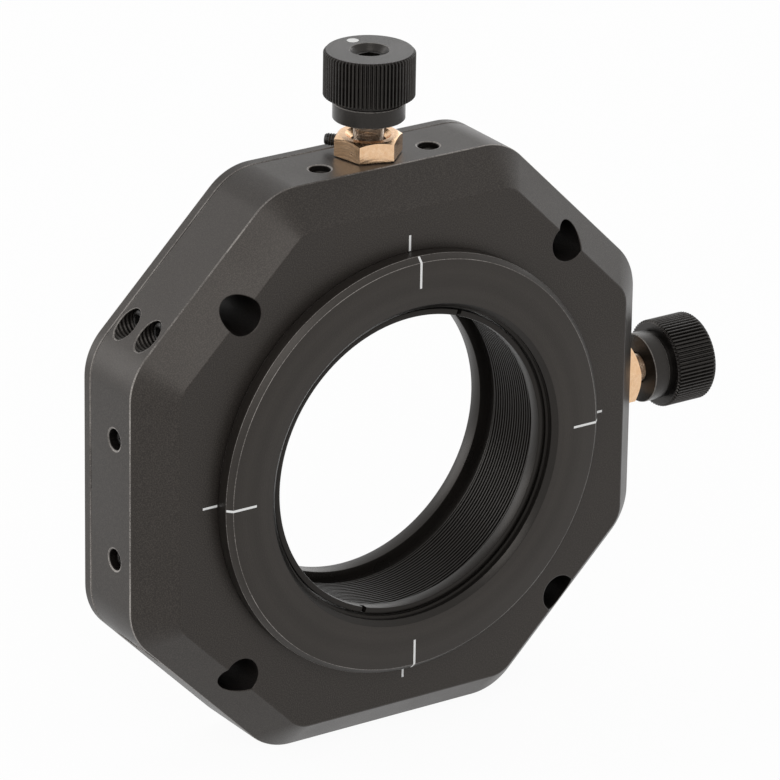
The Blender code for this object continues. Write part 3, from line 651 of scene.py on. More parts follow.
class Repeats:
    """Geometry Nodes trees for what repeats: ribs in a ring, copies at places, and coils."""

    def __init__(self) -> None:
        """Build the trees."""
        self.ring = self._ring()
        self.places = self._places()
        self.coil = self._coil()

    @staticmethod
    def _start(name: str, inputs: dict[str, str]) -> NewTree:
        """Empty geometry tree with its inputs and a Material, and its input and output nodes.

        Args:
            name: Name of the tree.
            inputs: Kind of each input.

        Returns:
            The tree, its input node and its output node.
        """
        tree = bpy.data.node_groups.new(name, "GeometryNodeTree")
        for label, kind in {**inputs, "Material": "Material"}.items():
            tree.interface.new_socket(label, in_out="INPUT", socket_type=f"NodeSocket{kind}")
        tree.interface.new_socket("Geometry", in_out="OUTPUT", socket_type="NodeSocketGeometry")
        return tree, tree.nodes.new("NodeGroupInput"), tree.nodes.new("NodeGroupOutput")

    @staticmethod
    def _end(tree: Tree, start: Node, end: Node, instances: Socket) -> Tree:
        """Realize the instances, set their material and hand back the tree.

        Args:
            tree: The tree.
            start: Its input node.
            end: Its output node.
            instances: What the tree has made.

        Returns:
            The tree.
        """
        real = put(tree, "GeometryNodeRealizeInstances", {0: instances})
        inputs = {"Geometry": real.outputs[0], "Material": start.outputs["Material"]}
        paint = put(tree, "GeometryNodeSetMaterial", inputs)
        fill(tree, end, {"Geometry": paint.outputs[0]})
        return tree

    def _copies(self, tree: Tree, start: Node, end: Node, points: Socket, rotation: Socket) -> Tree:
        """End a tree with copies of its Shape at points.

        Args:
            tree: The tree.
            start: Its input node.
            end: Its output node.
            points: Where the copies go.
            rotation: Turn of each copy.

        Returns:
            The tree.
        """
        shape = put(tree, "GeometryNodeObjectInfo", {"Object": start.outputs["Shape"]})
        inputs = {"Points": points, "Instance": shape.outputs["Geometry"], "Rotation": rotation}
        copies = put(tree, "GeometryNodeInstanceOnPoints", inputs)
        return self._end(tree, start, end, copies.outputs["Instances"])

    def _ring(self) -> Tree:
        """Copies of a shape in a ring about Z, each turned outwards.

        Returns:
            Tree with Shape, Count, Radius and Material inputs.
        """
        tree, start, end = self._start("ring_of_ribs", {"Shape": "Object", "Count": "Int", "Radius": "Float"})
        inputs = {"Vertices": start.outputs["Count"], "Radius": start.outputs["Radius"]}
        ring = put(tree, "GeometryNodeMeshCircle", inputs)
        where = put(tree, "GeometryNodeInputPosition").outputs[0]
        turn = put(tree, "FunctionNodeAlignRotationToVector", {"Vector": where}, axis="X", pivot_axis="Z")
        return self._copies(tree, start, end, ring.outputs["Mesh"], turn.outputs[0])

    def _places(self) -> Tree:
        """Copies of a shape at the points of another object, turned by their stored angles.

        Returns:
            Tree with Shape, Places and Material inputs.
        """
        tree, start, end = self._start("copies_at_places", {"Shape": "Object", "Places": "Object"})
        places = put(tree, "GeometryNodeObjectInfo", {"Object": start.outputs["Places"]})
        angles = put(tree, "GeometryNodeInputNamedAttribute", {"Name": "turn"}, data_type="FLOAT_VECTOR")
        turn = put(tree, "FunctionNodeEulerToRotation", {0: angles.outputs["Attribute"]})
        return self._copies(tree, start, end, places.outputs["Geometry"], turn.outputs[0])

    def _coil(self) -> Tree:
        """Coil about Z that starts at height 0.

        Returns:
            Tree with Radius, Length, Turns, Steps, Sides, Section turn, Half depth, Half width, Run out and
            Material inputs.
        """
        tree, start, end = self._start("wound_coil", {
            "Radius": "Float", "Length": "Float", "Turns": "Float", "Steps": "Int", "Sides": "Int",
            "Section turn": "Float", "Half depth": "Float", "Half width": "Float", "Run out": "Float"})
        given = start.outputs
        spiral = put(tree, "GeometryNodeCurveSpiral", {
            "Resolution": given["Steps"], "Rotations": given["Turns"], "Start Radius": given["Radius"],
            "End Radius": given["Radius"], "Height": given["Length"]})
        upright = put(tree, "GeometryNodeSetCurveNormal", {"Curve": spiral.outputs[0]}, mode="Z_UP")
        along = put(tree, "GeometryNodeSplineParameter").outputs["Factor"]
        backwards = math_node(tree, "SUBTRACT", 1.0, along)
        share = math_node(tree, "MINIMUM", *(self._share(tree, way, given["Run out"])
                                             for way in (along, backwards)))
        width = put(tree, "GeometryNodeSetCurveRadius", {"Curve": upright.outputs[0], "Radius": share})
        section = put(tree, "GeometryNodeCurvePrimitiveCircle", {"Radius": 1.0, "Resolution": given["Sides"]})
        angles = put(tree, "ShaderNodeCombineXYZ", {"Z": given["Section turn"]})
        halves = {"X": given["Half depth"], "Y": given["Half width"], "Z": 1.0}
        size = put(tree, "ShaderNodeCombineXYZ", halves)
        profile = section.outputs["Curve"]
        for label, value in (("Rotation", angles), ("Scale", size)):
            inputs = {"Geometry": profile, label: value.outputs[0]}
            profile = put(tree, "GeometryNodeTransform", inputs).outputs["Geometry"]
        inputs = {"Curve": width.outputs[0], "Profile Curve": profile, "Scale": share, "Fill Caps": True}
        sweep = put(tree, "GeometryNodeCurveToMesh", inputs)
        return self._end(tree, start, end, sweep.outputs["Mesh"])

    @staticmethod
    def _share(tree: Tree, place: Socket, run_out: Socket) -> Socket:
        """Share of full size near one end of the coil, from COIL_TIP up to 1."""
        inputs = {"Value": place, "From Max": run_out, "To Min": COIL_TIP}
        return put(tree, "ShaderNodeMapRange", inputs).outputs["Result"]

    def make(self, name: str, tree: Tree, values: dict[str, object], matrices: Iterable[Matrix],
             smooth: bool = True) -> Object:
        """Run a tree and keep its result as one plain mesh piece.

        Args:
            name: Name of the piece.
            tree: One of the trees of this class.
            values: Value of each named input.
            matrices: Where the result goes, one copy for each.
            smooth: Whether to shade it smooth.

        Returns:
            The piece.
        """
        host = bpy.data.objects.new("host", bpy.data.meshes.new("host"))
        bpy.context.scene.collection.objects.link(host)
        modifier = host.modifiers.new("Nodes", "NODES")
        modifier.node_group = tree
        for item in tree.interface.items_tree:
            if item.in_out == "INPUT":
                modifier[item.identifier] = values[item.name]
        mesh = evaluated_copy(name, host)
        shapes = []
        for matrix in matrices:
            shape = bmesh.new()
            shape.from_mesh(mesh)
            shapes.append(moved(shape, matrix))
        bpy.data.meshes.remove(mesh)
        total = tidy_mesh(name, merge(shapes))
        if not smooth:
            total.shade_flat()
        return link(name, total, [values["Material"]])

    def wind(self, name: str, coil: Coil, frames: Iterable[Matrix], material: Material,
             smooth: bool = False) -> Object:
        """Coils of one kind, one in each frame, as one piece.

        Args:
            name: Name of the piece.
            coil: Size of the coil.
            frames: Place and turn of each, with its axis along Z.
            material: Material of all the coils.
            smooth: Whether to shade it smooth.

        Returns:
            The piece.
        """
        lift = Matrix.Translation((0, 0, coil.low))
        return self.make(name, self.coil, coil.values(material), [frame @ lift for frame in frames], smooth)

    def copies(self, name: str, shape: Shape, frames: Sequence[Matrix], material: Material) -> Object:
        """Copies of a shape, one in each frame, as one piece.

        Args:
            name: Name of the piece.
            shape: The shape, with its axis along Z.
            frames: Place and turn of each copy.
            material: Material of all the copies.

        Returns:
            The piece.
        """
        pattern = solid("pattern", shape)
        spots = bpy.data.meshes.new("spots")
        spots.from_pydata([frame.translation for frame in frames], [], [])
        turns = spots.attributes.new("turn", "FLOAT_VECTOR", "POINT")
        for item, frame in zip(turns.data, frames):
            item.vector = frame.to_euler()
        places = link("places", spots)
        values = {"Shape": pattern, "Places": places, "Material": material}
        piece = self.make(name, self.places, values, [Matrix.Identity(4)])
        bpy.data.objects.remove(pattern)
        bpy.data.objects.remove(places)
        return piece


def hex_loop(width: float, height: float, steps: int) -> list[Triple]:
    """Hexagonal loop whose points stand at the same angles as a circle's.

    Args:
        width: Size across the flats.
        height: Height of the loop.
        steps: Number of points.

    Returns:
        The loop of points.
    """
    points = []
    for k in range(steps):
        angle = tau * k / steps
        radius = width / 2 / cos(angle % (pi / 3) - pi / 6)
        points.append((radius * cos(angle), radius * sin(angle), height))
    return points


@dataclass(frozen=True)
class SocketScrew:
    """A screw with a hex socket in its upper end, in millimetres from its top."""

    outline: tuple[Point, ...]
    socket: float
    socket_depth: float
    steps: int = 36

    def shape(self, top: float) -> Shape:
        """The screw along Z.

        Args:
            top: Height of its upper end.

        Returns:
            The shape.
        """
        width, lip, chamfer = self.socket * MM, 0.6, 0.06
        rings = [circle(radius * MM, top + height * MM, self.steps) for radius, height in self.outline]
        rings += [circle(width * lip, top, self.steps), hex_loop(width, top - width * chamfer, self.steps),
                  hex_loop(width, top - self.socket_depth * MM, self.steps)]
        return skin(rings)


COVER_SCREW = SocketScrew(((0.9, -6.3), (1.2, -6.0), (1.2, -1.1), (2.24, -0.08), (2.24, 0.0)), 1.5, 0.8)
CLAMP_SCREW = SocketScrew(((1.3, -6.0), (1.75, -5.6), (1.75, -0.3), (1.45, 0.0)), 2.0, 2.0)
SPRING_PLUG = SocketScrew(((1.1, -2.4), (1.35, -2.15), (1.35, -0.2), (1.15, 0.0)), 1.3, 0.8)
LOCK_SCREW = SocketScrew(((0.68, -4.22), (0.88, -4.02), (0.88, -0.2), (0.73, 0.0)), 0.9, 1.2, 24)


def drills(profile: Sequence[Point], steps: int, frames: Iterable[Matrix]) -> list[Shape]:
    """Round cutters of one profile, one in each frame."""
    return [moved(solid_lathe(profile, steps), frame) for frame in frames]


@dataclass
class HousingSizes:
    """Outline and holes of the housing."""

    half: float = 46.85 * MM
    rod_offset: float = 30.0 * MM
    rod_bore: float = 3.05 * MM
    outer_wall: float = 2.82 * MM
    inner_wall: float = 0.92 * MM
    depth: float = 17.1 * MM
    corner: float = 10.0 * MM
    bevel_width: float = 5.4 * MM
    bevel_depth: float = 5.7 * MM
    front_wall: float = 4.3 * MM
    opening: float = 31.214 * MM
    pocket_x: float = 35.6 * MM
    pocket_z: float = 36.6 * MM
    pocket_corner: float = 3.0 * MM
    edge: float = 0.16 * MM
    seam: float = 0.2 * MM
    cover: float = 1.8 * MM
    cover_opening: float = 29.314 * MM
    side_hole: float = 1.65 * MM
    side_hole_aside: float = 10.0 * MM
    side_hole_depth: float = 10.2 * MM
    side_hole_chamfer: float = 0.2 * MM
    blind: float = 7.5 * MM
    tap: float = 1.5 * MM
    tap_start: float = 12.3 * MM
    bushing_hole: float = 4.25 * MM
    bushing_start: float = 35.3 * MM
    clamp_height: float = 26.4 * MM
    clamp_depths: Point = (8.6 * MM, 14.6 * MM)
    clamp_hole: float = 2.05 * MM
    clamp_screw_top: float = 39.97 * MM
    clamp_thread: Point = (38.6 * MM, 44.2 * MM)
    clamp_pitch: float = 0.7 * MM
    side_thread: Point = (39.75 * MM, 46.35 * MM)
    side_pitch: float = 0.6 * MM
    ridge_out: float = 0.03 * MM
    ridge: float = 0.16 * MM
    screw_out: float = 41.5 * MM
    screw_aside: float = 16.5 * MM
    screw_head: float = 2.6 * MM
    head_start: float = 1.3 * MM
    head_top: float = 0.2 * MM
    plug_top: float = 45.7 * MM
    spring: float = 1.15 * MM
    spring_wire: float = 0.2 * MM
    spring_turns: float = 4.0
    spring_tip: float = 39.1 * MM
    spring_foot: float = 43.0 * MM
    mark: Point = (34.7 * MM, 37.3 * MM)

    @property
    def diagonal(self) -> float:
        """Distance of the 45 degree flats from the optical axis."""
        return self.rod_offset * sqrt(2) + self.rod_bore + self.outer_wall

    @property
    def pocket_diagonal(self) -> float:
        """Distance of the pocket's 45 degree flats from the optical axis."""
        return self.rod_offset * sqrt(2) - self.rod_bore - self.inner_wall

    @property
    def cover_start(self) -> float:
        """Depth of the cover's inner face."""
        return self.depth + self.seam

    @property
    def cover_end(self) -> float:
        """Depth of the cover's outer face."""
        return self.cover_start + self.cover

    def outline(self, inset: float, depth: float, steps: int = 14) -> list[Triple]:
        """Outer loop drawn in by an inset, at a depth along Y.

        Args:
            inset: How far the loop is drawn in.
            depth: Its place along Y.
            steps: Segments of each corner.

        Returns:
            The loop of points.
        """
        half = self.half - inset
        loop = octagon(half, half, self.diagonal - inset, self.corner - inset, steps)
        return [(x, depth, z) for x, z in loop]

    def rods(self) -> list[Matrix]:
        """Frames of the four rods."""
        places = (-self.rod_offset, self.rod_offset)
        return [Matrix.Translation((x, 0, z)) @ ALONG_Y for x in places for z in places]

    def cover_screws(self) -> list[Matrix]:
        """Frames of the cover screws, Z towards the rear.

        Returns:
            The eight frames.
        """
        aside, out = (-self.screw_aside, self.screw_aside), (-self.screw_out, self.screw_out)
        upright = [(x, z) for x in aside for z in out]
        return [Matrix.Translation((x, 0, z)) @ ALONG_Y for x, z in upright + [(z, x) for x, z in upright]]

    def wall(self, direction: int, across: float, depth: float) -> Matrix:
        """Frame of a hole in the left or right wall, Z out of the wall."""
        return Matrix.Translation((0, depth, across)) @ (ALONG_X if direction > 0 else ALONG_X.inverted())

    def end(self, direction: int, across: float, depth: float) -> Matrix:
        """Frame of a hole in the top or bottom wall, Z out of the wall."""
        return Matrix.Translation((across, depth, 0)) @ Matrix.Rotation(0 if direction > 0 else pi, 4, "X")

    def side_holes(self, direction: int) -> list[Matrix]:
        """Frames of the paired small holes: 1 for top and right, -1 for bottom and left.

        Args:
            direction: 1 or -1.

        Returns:
            Two frames up or down, then two to the side.
        """
        asides = (-self.side_hole_aside, self.side_hole_aside)
        ends = [self.end(direction, aside, self.side_hole_depth) for aside in asides]
        return ends + [self.wall(direction, aside, self.side_hole_depth) for aside in asides]

    def clamps(self) -> list[Matrix]:
        """Frames of the eight clamp holes."""
        return [self.wall(direction, height, depth) for direction in (-1, 1)
                for height in (-self.clamp_height, self.clamp_height) for depth in self.clamp_depths]


def octagon(half_x: float, half_z: float, diagonal: float, radius: float, steps: int) -> list[Point]:
    """Rounded octagon.

    Args:
        half_x: Distance of the left and right flats.
        half_z: Distance of the top and bottom flats.
        diagonal: Distance of the 45 degree flats.
        radius: Radius of the corners.
        steps: Segments of each corner.

    Returns:
        The loop of points.
    """
    reach = diagonal * sqrt(2)
    quarter = [(half_x, reach - half_x), (reach - half_z, half_z)]
    corners = quarter + [(-x, z) for x, z in reversed(quarter)]
    corners += [(-x, -z) for x, z in corners]
    loop: list[Point] = []
    for index, corner in enumerate(corners):
        here = Vector(corner)
        before = (Vector(corners[index - 1]) - here).normalized()
        after = (Vector(corners[(index + 1) % len(corners)]) - here).normalized()
        half_angle = before.angle(after) / 2
        centre = here + (before + after).normalized() * radius / sin(half_angle)
        first = here + before * radius / tan(half_angle) - centre
        last = here + after * radius / tan(half_angle) - centre
        start = atan2(first.y, first.x)
        sweep = (atan2(last.y, last.x) - start + pi) % tau - pi
        for step in range(steps + 1):
            angle = start + sweep * step / steps
            loop.append((centre.x + radius * cos(angle), centre.y + radius * sin(angle)))
    return loop


@dataclass
class AdjusterSizes:
    """One adjuster, measured from the optical axis along its own axis."""

    depth: float = 11.9 * MM
    bushing_end: float = 37.0 * MM
    barrel: float = 3.95 * MM
    hex_start: float = 47.05 * MM
    hex_end: float = 50.2 * MM
    hex_width: float = 9.525 * MM
    hex_chamfer: float = 0.5 * MM
    hex_edge: float = 0.14 * MM
    hex_turn: float = 42.5
    sink: float = 3.6 * MM
    bore: float = 2.68 * MM
    screw: float = 2.38 * MM
    thread_depth: float = 0.1 * MM
    thread_pitch: float = 0.25 * MM
    screw_end: float = 37.9 * MM
    seat: float = 1.8 * MM
    ball_centre: float = 37.3 * MM
    lock_reach: float = 6.9 * MM
    lock_height: float = 48.6 * MM
    knob_start: float = 52.85 * MM
    neck: float = 5.65 * MM
    neck_length: float = 3.55 * MM
    neck_edge: float = 0.12 * MM
    groove_width: float = 0.8 * MM
    groove_depth: float = 0.4 * MM
    grip: float = 7.15 * MM
    grip_length: float = 7.45 * MM
    under_chamfer: float = 0.25 * MM
    rim: float = 0.4 * MM
    dish: float = 3.05 * MM
    dish_floor: float = 2.3 * MM
    dish_depth: float = 1.0 * MM
    socket: float = 3.2 * MM
    socket_depth: float = 2.0 * MM
    screw_in_knob: float = 6.35 * MM
    ribs: int = 70
    rib_depth: float = 0.42 * MM
    dot: float = 0.92 * MM
    dot_radius: float = 4.85 * MM
    dot_turn: float = 89.0
    dot_height: float = 0.015 * MM
    dot_sunk: float = 0.02 * MM
    clearance: float = 0.3 * MM
    barrel_chamfer: float = 0.2 * MM
    screw_chamfer: float = 0.1 * MM
    thread_over: float = 0.4 * MM
    thread_width: float = 0.42
    knob_edge: float = 0.05 * MM
    socket_lip: float = 0.59
    rib_crest: float = 0.34
    rib_round: float = 0.03 * MM
    rib_buried: float = 0.12 * MM
    rib_gap: float = 0.02 * MM
    lock_thread: Coil = Coil(0.87 * MM, 2.98 * MM, 6.65 * MM, turns=9.175, half_depth=0.12 * MM,
                             half_width=0.17 * MM, run_out=0.08)


class Housing:
    """The bevelled octagonal shell, its cover and every fixed fastener."""

    opening_steps = 192
    rod_steps = 96
    bushing_steps = 64
    clamp_steps = 56
    hole_steps = 40
    tap_steps = 32
    flat_angle = radians(0.05)
    corner_angle = radians(30)

    def __init__(self, box: Paintbox, repeats: Repeats) -> None:
        """Keep the tools and sizes.

        Args:
            box: All the finishes.
            repeats: Trees for what repeats.
        """
        self.box = box
        self.repeats = repeats
        self.sizes = HousingSizes()

    def build(self) -> None:
        """Make and dress every piece of the housing's body."""
        finish_piece(link("housing_shell", self._shell()), "housing", "black_anodised", "housing")
        finish_piece(link("cover_plate", self._cover()), "housing", "black_anodised", "rear_cover")
        self._fasteners()
        self._springs()
        self._threads()
        self._marks()

    def _shell(self) -> Mesh:
        """Shell with its pocket and holes, its outer edges rounded.

        Returns:
            Its mesh.
        """
        s = self.sizes
        rings = [s.outline(s.bevel_width, 0), s.outline(0, s.bevel_depth), s.outline(0, s.depth)]
        body = solid("shell", skin(rings))
        pocket = octagon(s.pocket_x, s.pocket_z, s.pocket_diagonal, s.pocket_corner, steps=8)
        clamp = [(s.clamp_hole, s.rod_offset + s.rod_bore / 2), (s.clamp_hole, s.half)]
        beyond = s.half * 1.1
        bushing = [(s.bushing_hole, s.bushing_start), (s.bushing_hole, beyond)]
        groups = [[skin([[(x, y, z) for x, z in pocket] for y in (s.front_wall, s.depth + s.cover)])],
                  self._front_cutters(), self._rod_cutters(-s.cover, s.depth + s.cover),
                  drills(clamp, self.clamp_steps, s.clamps()),
                  drills(bushing, self.bushing_steps, [axis_frame(direction) for direction in Direction])]
        return self._cut(body, groups, s.depth)

    def _front_cutters(self) -> list[Shape]:
        """Lens opening, small side holes and tapped holes for the cover screws.

        Returns:
            The shapes to cut out.
        """
        s = self.sizes
        opening = [(s.opening, -s.front_wall), (s.opening, 2 * s.front_wall)]
        cutters = drills(opening, self.opening_steps, [ALONG_Y])
        for direction, start in ((1, s.half - s.blind), (-1, s.pocket_x)):
            profile = [(s.side_hole, start), (s.side_hole, s.half - s.side_hole_chamfer),
                       (s.side_hole + 2 * s.side_hole_chamfer, s.half + s.side_hole_chamfer)]
            cutters += drills(profile, self.hole_steps, s.side_holes(direction))
        tap = [(s.tap, s.tap_start), (s.tap, s.cover_end)]
        return cutters + drills(tap, self.tap_steps, s.cover_screws())

    def _rod_cutters(self, start: float, end: float) -> list[Shape]:
        """Four rods' worth of bore between two depths."""
        bore = [(self.sizes.rod_bore, start), (self.sizes.rod_bore, end)]
        return drills(bore, self.rod_steps, self.sizes.rods())

    def _cut(self, body: Object, groups: Sequence[Sequence[Shape]], rear: float) -> Mesh:
        """Cut the groups out of a body and round its outer edges.

        Args:
            body: Object to cut, removed here.
            groups: Shapes of each cut; those in one group don't touch.
            rear: Depth of the body's rear face.

        Returns:
            Mesh with its materials; worn edges with a painted highlight, those behind the bevel, have the
            second, and the insides of the pocket and holes, in painted shade, the third.
        """
        tools = [solid("tool", merge(shapes)) for shapes in groups]
        for tool in tools:
            add_cut(body, tool)
        mesh = evaluated_copy("cut", body)
        for tool in tools:
            bpy.data.objects.remove(tool)
        shape = bmesh.new()
        shape.from_mesh(mesh)
        bmesh.ops.remove_doubles(shape, verts=shape.verts, dist=2 * WELD)
        bmesh.ops.dissolve_limit(shape, angle_limit=self.flat_angle, verts=shape.verts, edges=shape.edges)
        weight = shape.edges.layers.float.new("bevel_weight_edge")
        for edge in shape.edges:
            sharp = edge.is_manifold and edge.is_convex and edge.calc_face_angle() > self.corner_angle
            edge[weight] = float(sharp and all(self._on_outside(vertex.co, rear) for vertex in edge.verts))
        # Faces off the outer skin, in the pocket and holes, take the darker hole-wall finish, painted shade
        # in the recesses.
        for face in shape.faces:
            face.material_index = 0 if self._on_outside(face.calc_center_median(), rear) else SHADED_HOLE_WALL
        dress = [self.box.material(finish) for finish in (self.box.anodised, self.box.edge, self.box.inner)]
        rounded = solid("rounded", shape, dress)
        bevel = rounded.modifiers.new("bevel", "BEVEL")
        bevel.limit_method = "WEIGHT"
        bevel.width = self.sizes.edge
        bevel.segments = 2
        bevel.use_clamp_overlap = False
        bevel.material = WORN_EDGE_AND_HIGHLIGHT
        bevel.miter_outer = "MITER_ARC"
        normals = rounded.modifiers.new("normals", "WEIGHTED_NORMAL")
        normals.keep_sharp = True
        finished = evaluated_copy("rounded", rounded)
        # The painted edge highlight stays only on edges behind the bevel; those on the front and bevel go
        # back to plain anodising.
        for face in finished.polygons:
            if face.material_index == WORN_EDGE_AND_HIGHLIGHT and face.center.y < self.sizes.bevel_depth - self.sizes.edge:
                face.material_index = 0
        return finished

    def _on_outside(self, point: Vector, rear: float) -> bool:
        """Whether a point lies on the outer skin, leaving out the pocket and the insides of holes.

        Args:
            point: Point of the housing or of its cover.
            rear: Depth of that body's rear face.

        Returns:
            True on the outer skin.
        """
        s = self.sizes
        x, y, z = abs(point.x), point.y, abs(point.z)
        tolerance = 0.004 * MM
        wall = max(x - s.half, z - s.half, (x + z) / sqrt(2) - s.diagonal)
        corner = s.diagonal * sqrt(2) - s.half
        for low, high in ((x, z), (z, x)):
            reach = Vector((s.half, corner)) + Vector((-s.corner, -s.corner * tan(pi / 8)))
            away = Vector((low, high)) - reach
            if -CORNER_SLACK < atan2(away.y, away.x) < pi / 4 + CORNER_SLACK:
                wall = max(wall, away.length - s.corner)
        front = -y if rear == s.depth else s.cover_start - y
        slope = (wall + s.bevel_width) - y * s.bevel_width / s.bevel_depth if rear == s.depth else -1.0
        return any(abs(value) < tolerance for value in (wall, front, y - rear, slope))

    def _cover(self) -> Mesh:
        """Cover plate with its opening, rod holes and countersinks.

        Returns:
            Its mesh.
        """
        s = self.sizes
        plate = solid("plate", skin([s.outline(0, depth) for depth in (s.cover_start, s.cover_end)]))
        start, end = s.cover_start - s.cover, s.cover_end + s.cover
        sink = [(s.tap, start), (s.tap, s.cover_end - s.head_start),
                (s.screw_head, s.cover_end - s.head_top), (s.screw_head, end)]
        groups = [drills([(s.cover_opening, start), (s.cover_opening, end)], self.opening_steps, [ALONG_Y]),
                  drills(sink, self.hole_steps, s.cover_screws()), self._rod_cutters(start, end)]
        return self._cut(plate, groups, s.cover_end)

    def _fasteners(self) -> None:
        """Cover screws, screws that clamp the rods and the plugs behind the springs."""
        s = self.sizes
        steel = self.box.material(self.box.black_steel)
        for name, screw, top, frames, node in (
            ("cover_screw_set", COVER_SCREW, s.cover_end - s.seam, s.cover_screws(), "cover_screw"),
            ("clamp_screw_set", CLAMP_SCREW, s.clamp_screw_top, s.clamps(), "rod_clamp_screw"),
            ("spring_plug_set", SPRING_PLUG, s.plug_top, s.side_holes(-1), "spring_plug"),
        ):
            piece = self.repeats.copies(name, screw.shape(top), frames, steel)
            finish_piece(piece, "housing", "black_steel", *numbered(node, len(frames)))

    def _springs(self) -> None:
        """Coil springs, each stretched between its plug in the housing and the plunger that it pushes."""
        s = self.sizes
        wire = s.spring_wire
        coil = Coil(s.spring, s.spring_tip + wire, s.spring_foot - wire, s.spring_turns, half_depth=wire,
                    half_width=wire, run_out=0.001, sides=10)
        material = self.box.material(self.box.spring_steel)
        down, left = Vector((0, 0, -1)), Vector((-1, 0, 0))
        lower, side = s.side_holes(-1)[:2], s.side_holes(-1)[2:]
        for kind, frames, body, axis in (("vertical", lower, "vertical_stage", down),
                                         ("lateral", side, "side_thrust", left)):
            coils = self.repeats.wind(f"{kind}_spring_coils", coil, frames, material, smooth=True)
            foot, tip = (tuple(axis * reach) for reach in (s.spring_foot, s.spring_tip))
            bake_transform(coils, "housing", body, start=foot, end=tip)
            finish_piece(coils, "housing", "spring_steel", *numbered(f"{kind}_spring", len(frames)))

    def _trim(self, piece: Object) -> None:
        """Cut a piece back to just inside the 45 degree flats and close the cuts.

        Args:
            piece: Object whose mesh is cut here.
        """
        shape = bmesh.new()
        shape.from_mesh(piece.data)
        for turn in range(4):
            normal = Matrix.Rotation(pi / 4 + turn * pi / 2, 3, "Y") @ Vector((1, 0, 0))
            bmesh.ops.bisect_plane(shape, geom=[*shape.verts, *shape.edges, *shape.faces], clear_outer=True,
                                   plane_co=normal * (self.sizes.diagonal - self.sizes.edge), plane_no=normal)
            bmesh.ops.holes_fill(shape, edges=[edge for edge in shape.edges if edge.is_boundary])
        shape.to_mesh(piece.data)
        shape.free()

    def _threads(self) -> None:
        """Thread ridges in the clamp holes and in the small side holes."""
        s = self.sizes
        # The thread ridges in the holes take a darker copy of the anodising, painted shade in the holes.
        material = self.box.material(self.box.hole_thread)
        for name, radius, (low, high), pitch, frames in (
            ("clamp_hole_threads", s.clamp_hole, s.clamp_thread, s.clamp_pitch, s.clamps()),
            ("side_hole_threads", s.side_hole, s.side_thread, s.side_pitch, s.side_holes(1)),
        ):
            coil = Coil(radius + s.ridge_out, low, high, (high - low) / pitch, half_depth=s.ridge,
                        half_width=pitch * THREAD_HALF_WIDTH, run_out=0.12, steps=28)
            ridges = self.repeats.wind(name, coil, frames, material)
            self._trim(ridges)
            finish_piece(ridges, "housing", "black_anodised")

    def _marks(self) -> None:
        """Four white alignment lines on the front face."""
        marks = painted_lines("housing_marks", [(out, 0.0) for out in self.sizes.mark], self.box)
        finish_piece(marks, "housing", "black_anodised")


def ribbon(path: Sequence[Point], width: float, quarter: int) -> Shape:
    """Thin painted line that follows a surface outwards from the optical axis.

    Args:
        path: Points as (radius, depth), from the inner end out.
        width: Width of the line.
        quarter: Number of quarter turns about the optical axis.

    Returns:
        The closed shape, a hair proud of the surface.
    """
    lift = 0.02 * MM
    rings = []
    for index, (radius, depth) in enumerate(path):
        before = Vector(path[max(index - 1, 0)])
        after = Vector(path[min(index + 1, len(path) - 1)])
        run = (after - before).normalized()
        out = Vector((run.y, -run.x)) * lift
        sink = Vector((radius, depth)) - out
        top = Vector((radius, depth)) + out
        rings.append([(top.x, top.y, -width / 2), (top.x, top.y, width / 2), (sink.x, sink.y, width / 2),
                      (sink.x, sink.y, -width / 2)])
    return moved(skin(rings), Matrix.Rotation(quarter * pi / 2, 4, "Y"))


def painted_lines(name: str, path: Sequence[Point], box: Paintbox) -> Object:
    """Four painted lines, a quarter turn apart, as one piece."""
    lines = [ribbon(path, MARK_WIDTH, quarter) for quarter in range(4)]
    return solid(name, merge(lines), [box.material(box.paint)])


def numbered(name: str, count: int) -> list[str]:
    """The names of a run of numbered nodes."""
    return [f"{name}_{number}" for number in range(1, count + 1)]


def finish_piece(piece: Object, body: str, slot: str, *nodes: str) -> None:
    """Hand a finished piece to its body, unless it is stretched between two bodies already.

    Args:
        piece: Object at the origin with its place in its mesh.
        body: Body that it rides on.
        slot: The record's material slot; not used.
        nodes: Nodes that it stands for.
    """
    if "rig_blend" not in piece:
        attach(piece, body)
    if nodes:
        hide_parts(*nodes)
    faces = len(piece.data.polygons)
    LOG.info("%s rides on %s: %d faces, stands for %s", piece.name, body, faces, nodes or "nothing")


def axis_frame(direction: Direction) -> Matrix:
    """Frame of an adjuster, Z outwards along its screw."""
    centre = Matrix.Translation((0, AdjusterSizes().depth, 0))
    return centre if direction is Direction.TOP else centre @ ALONG_X


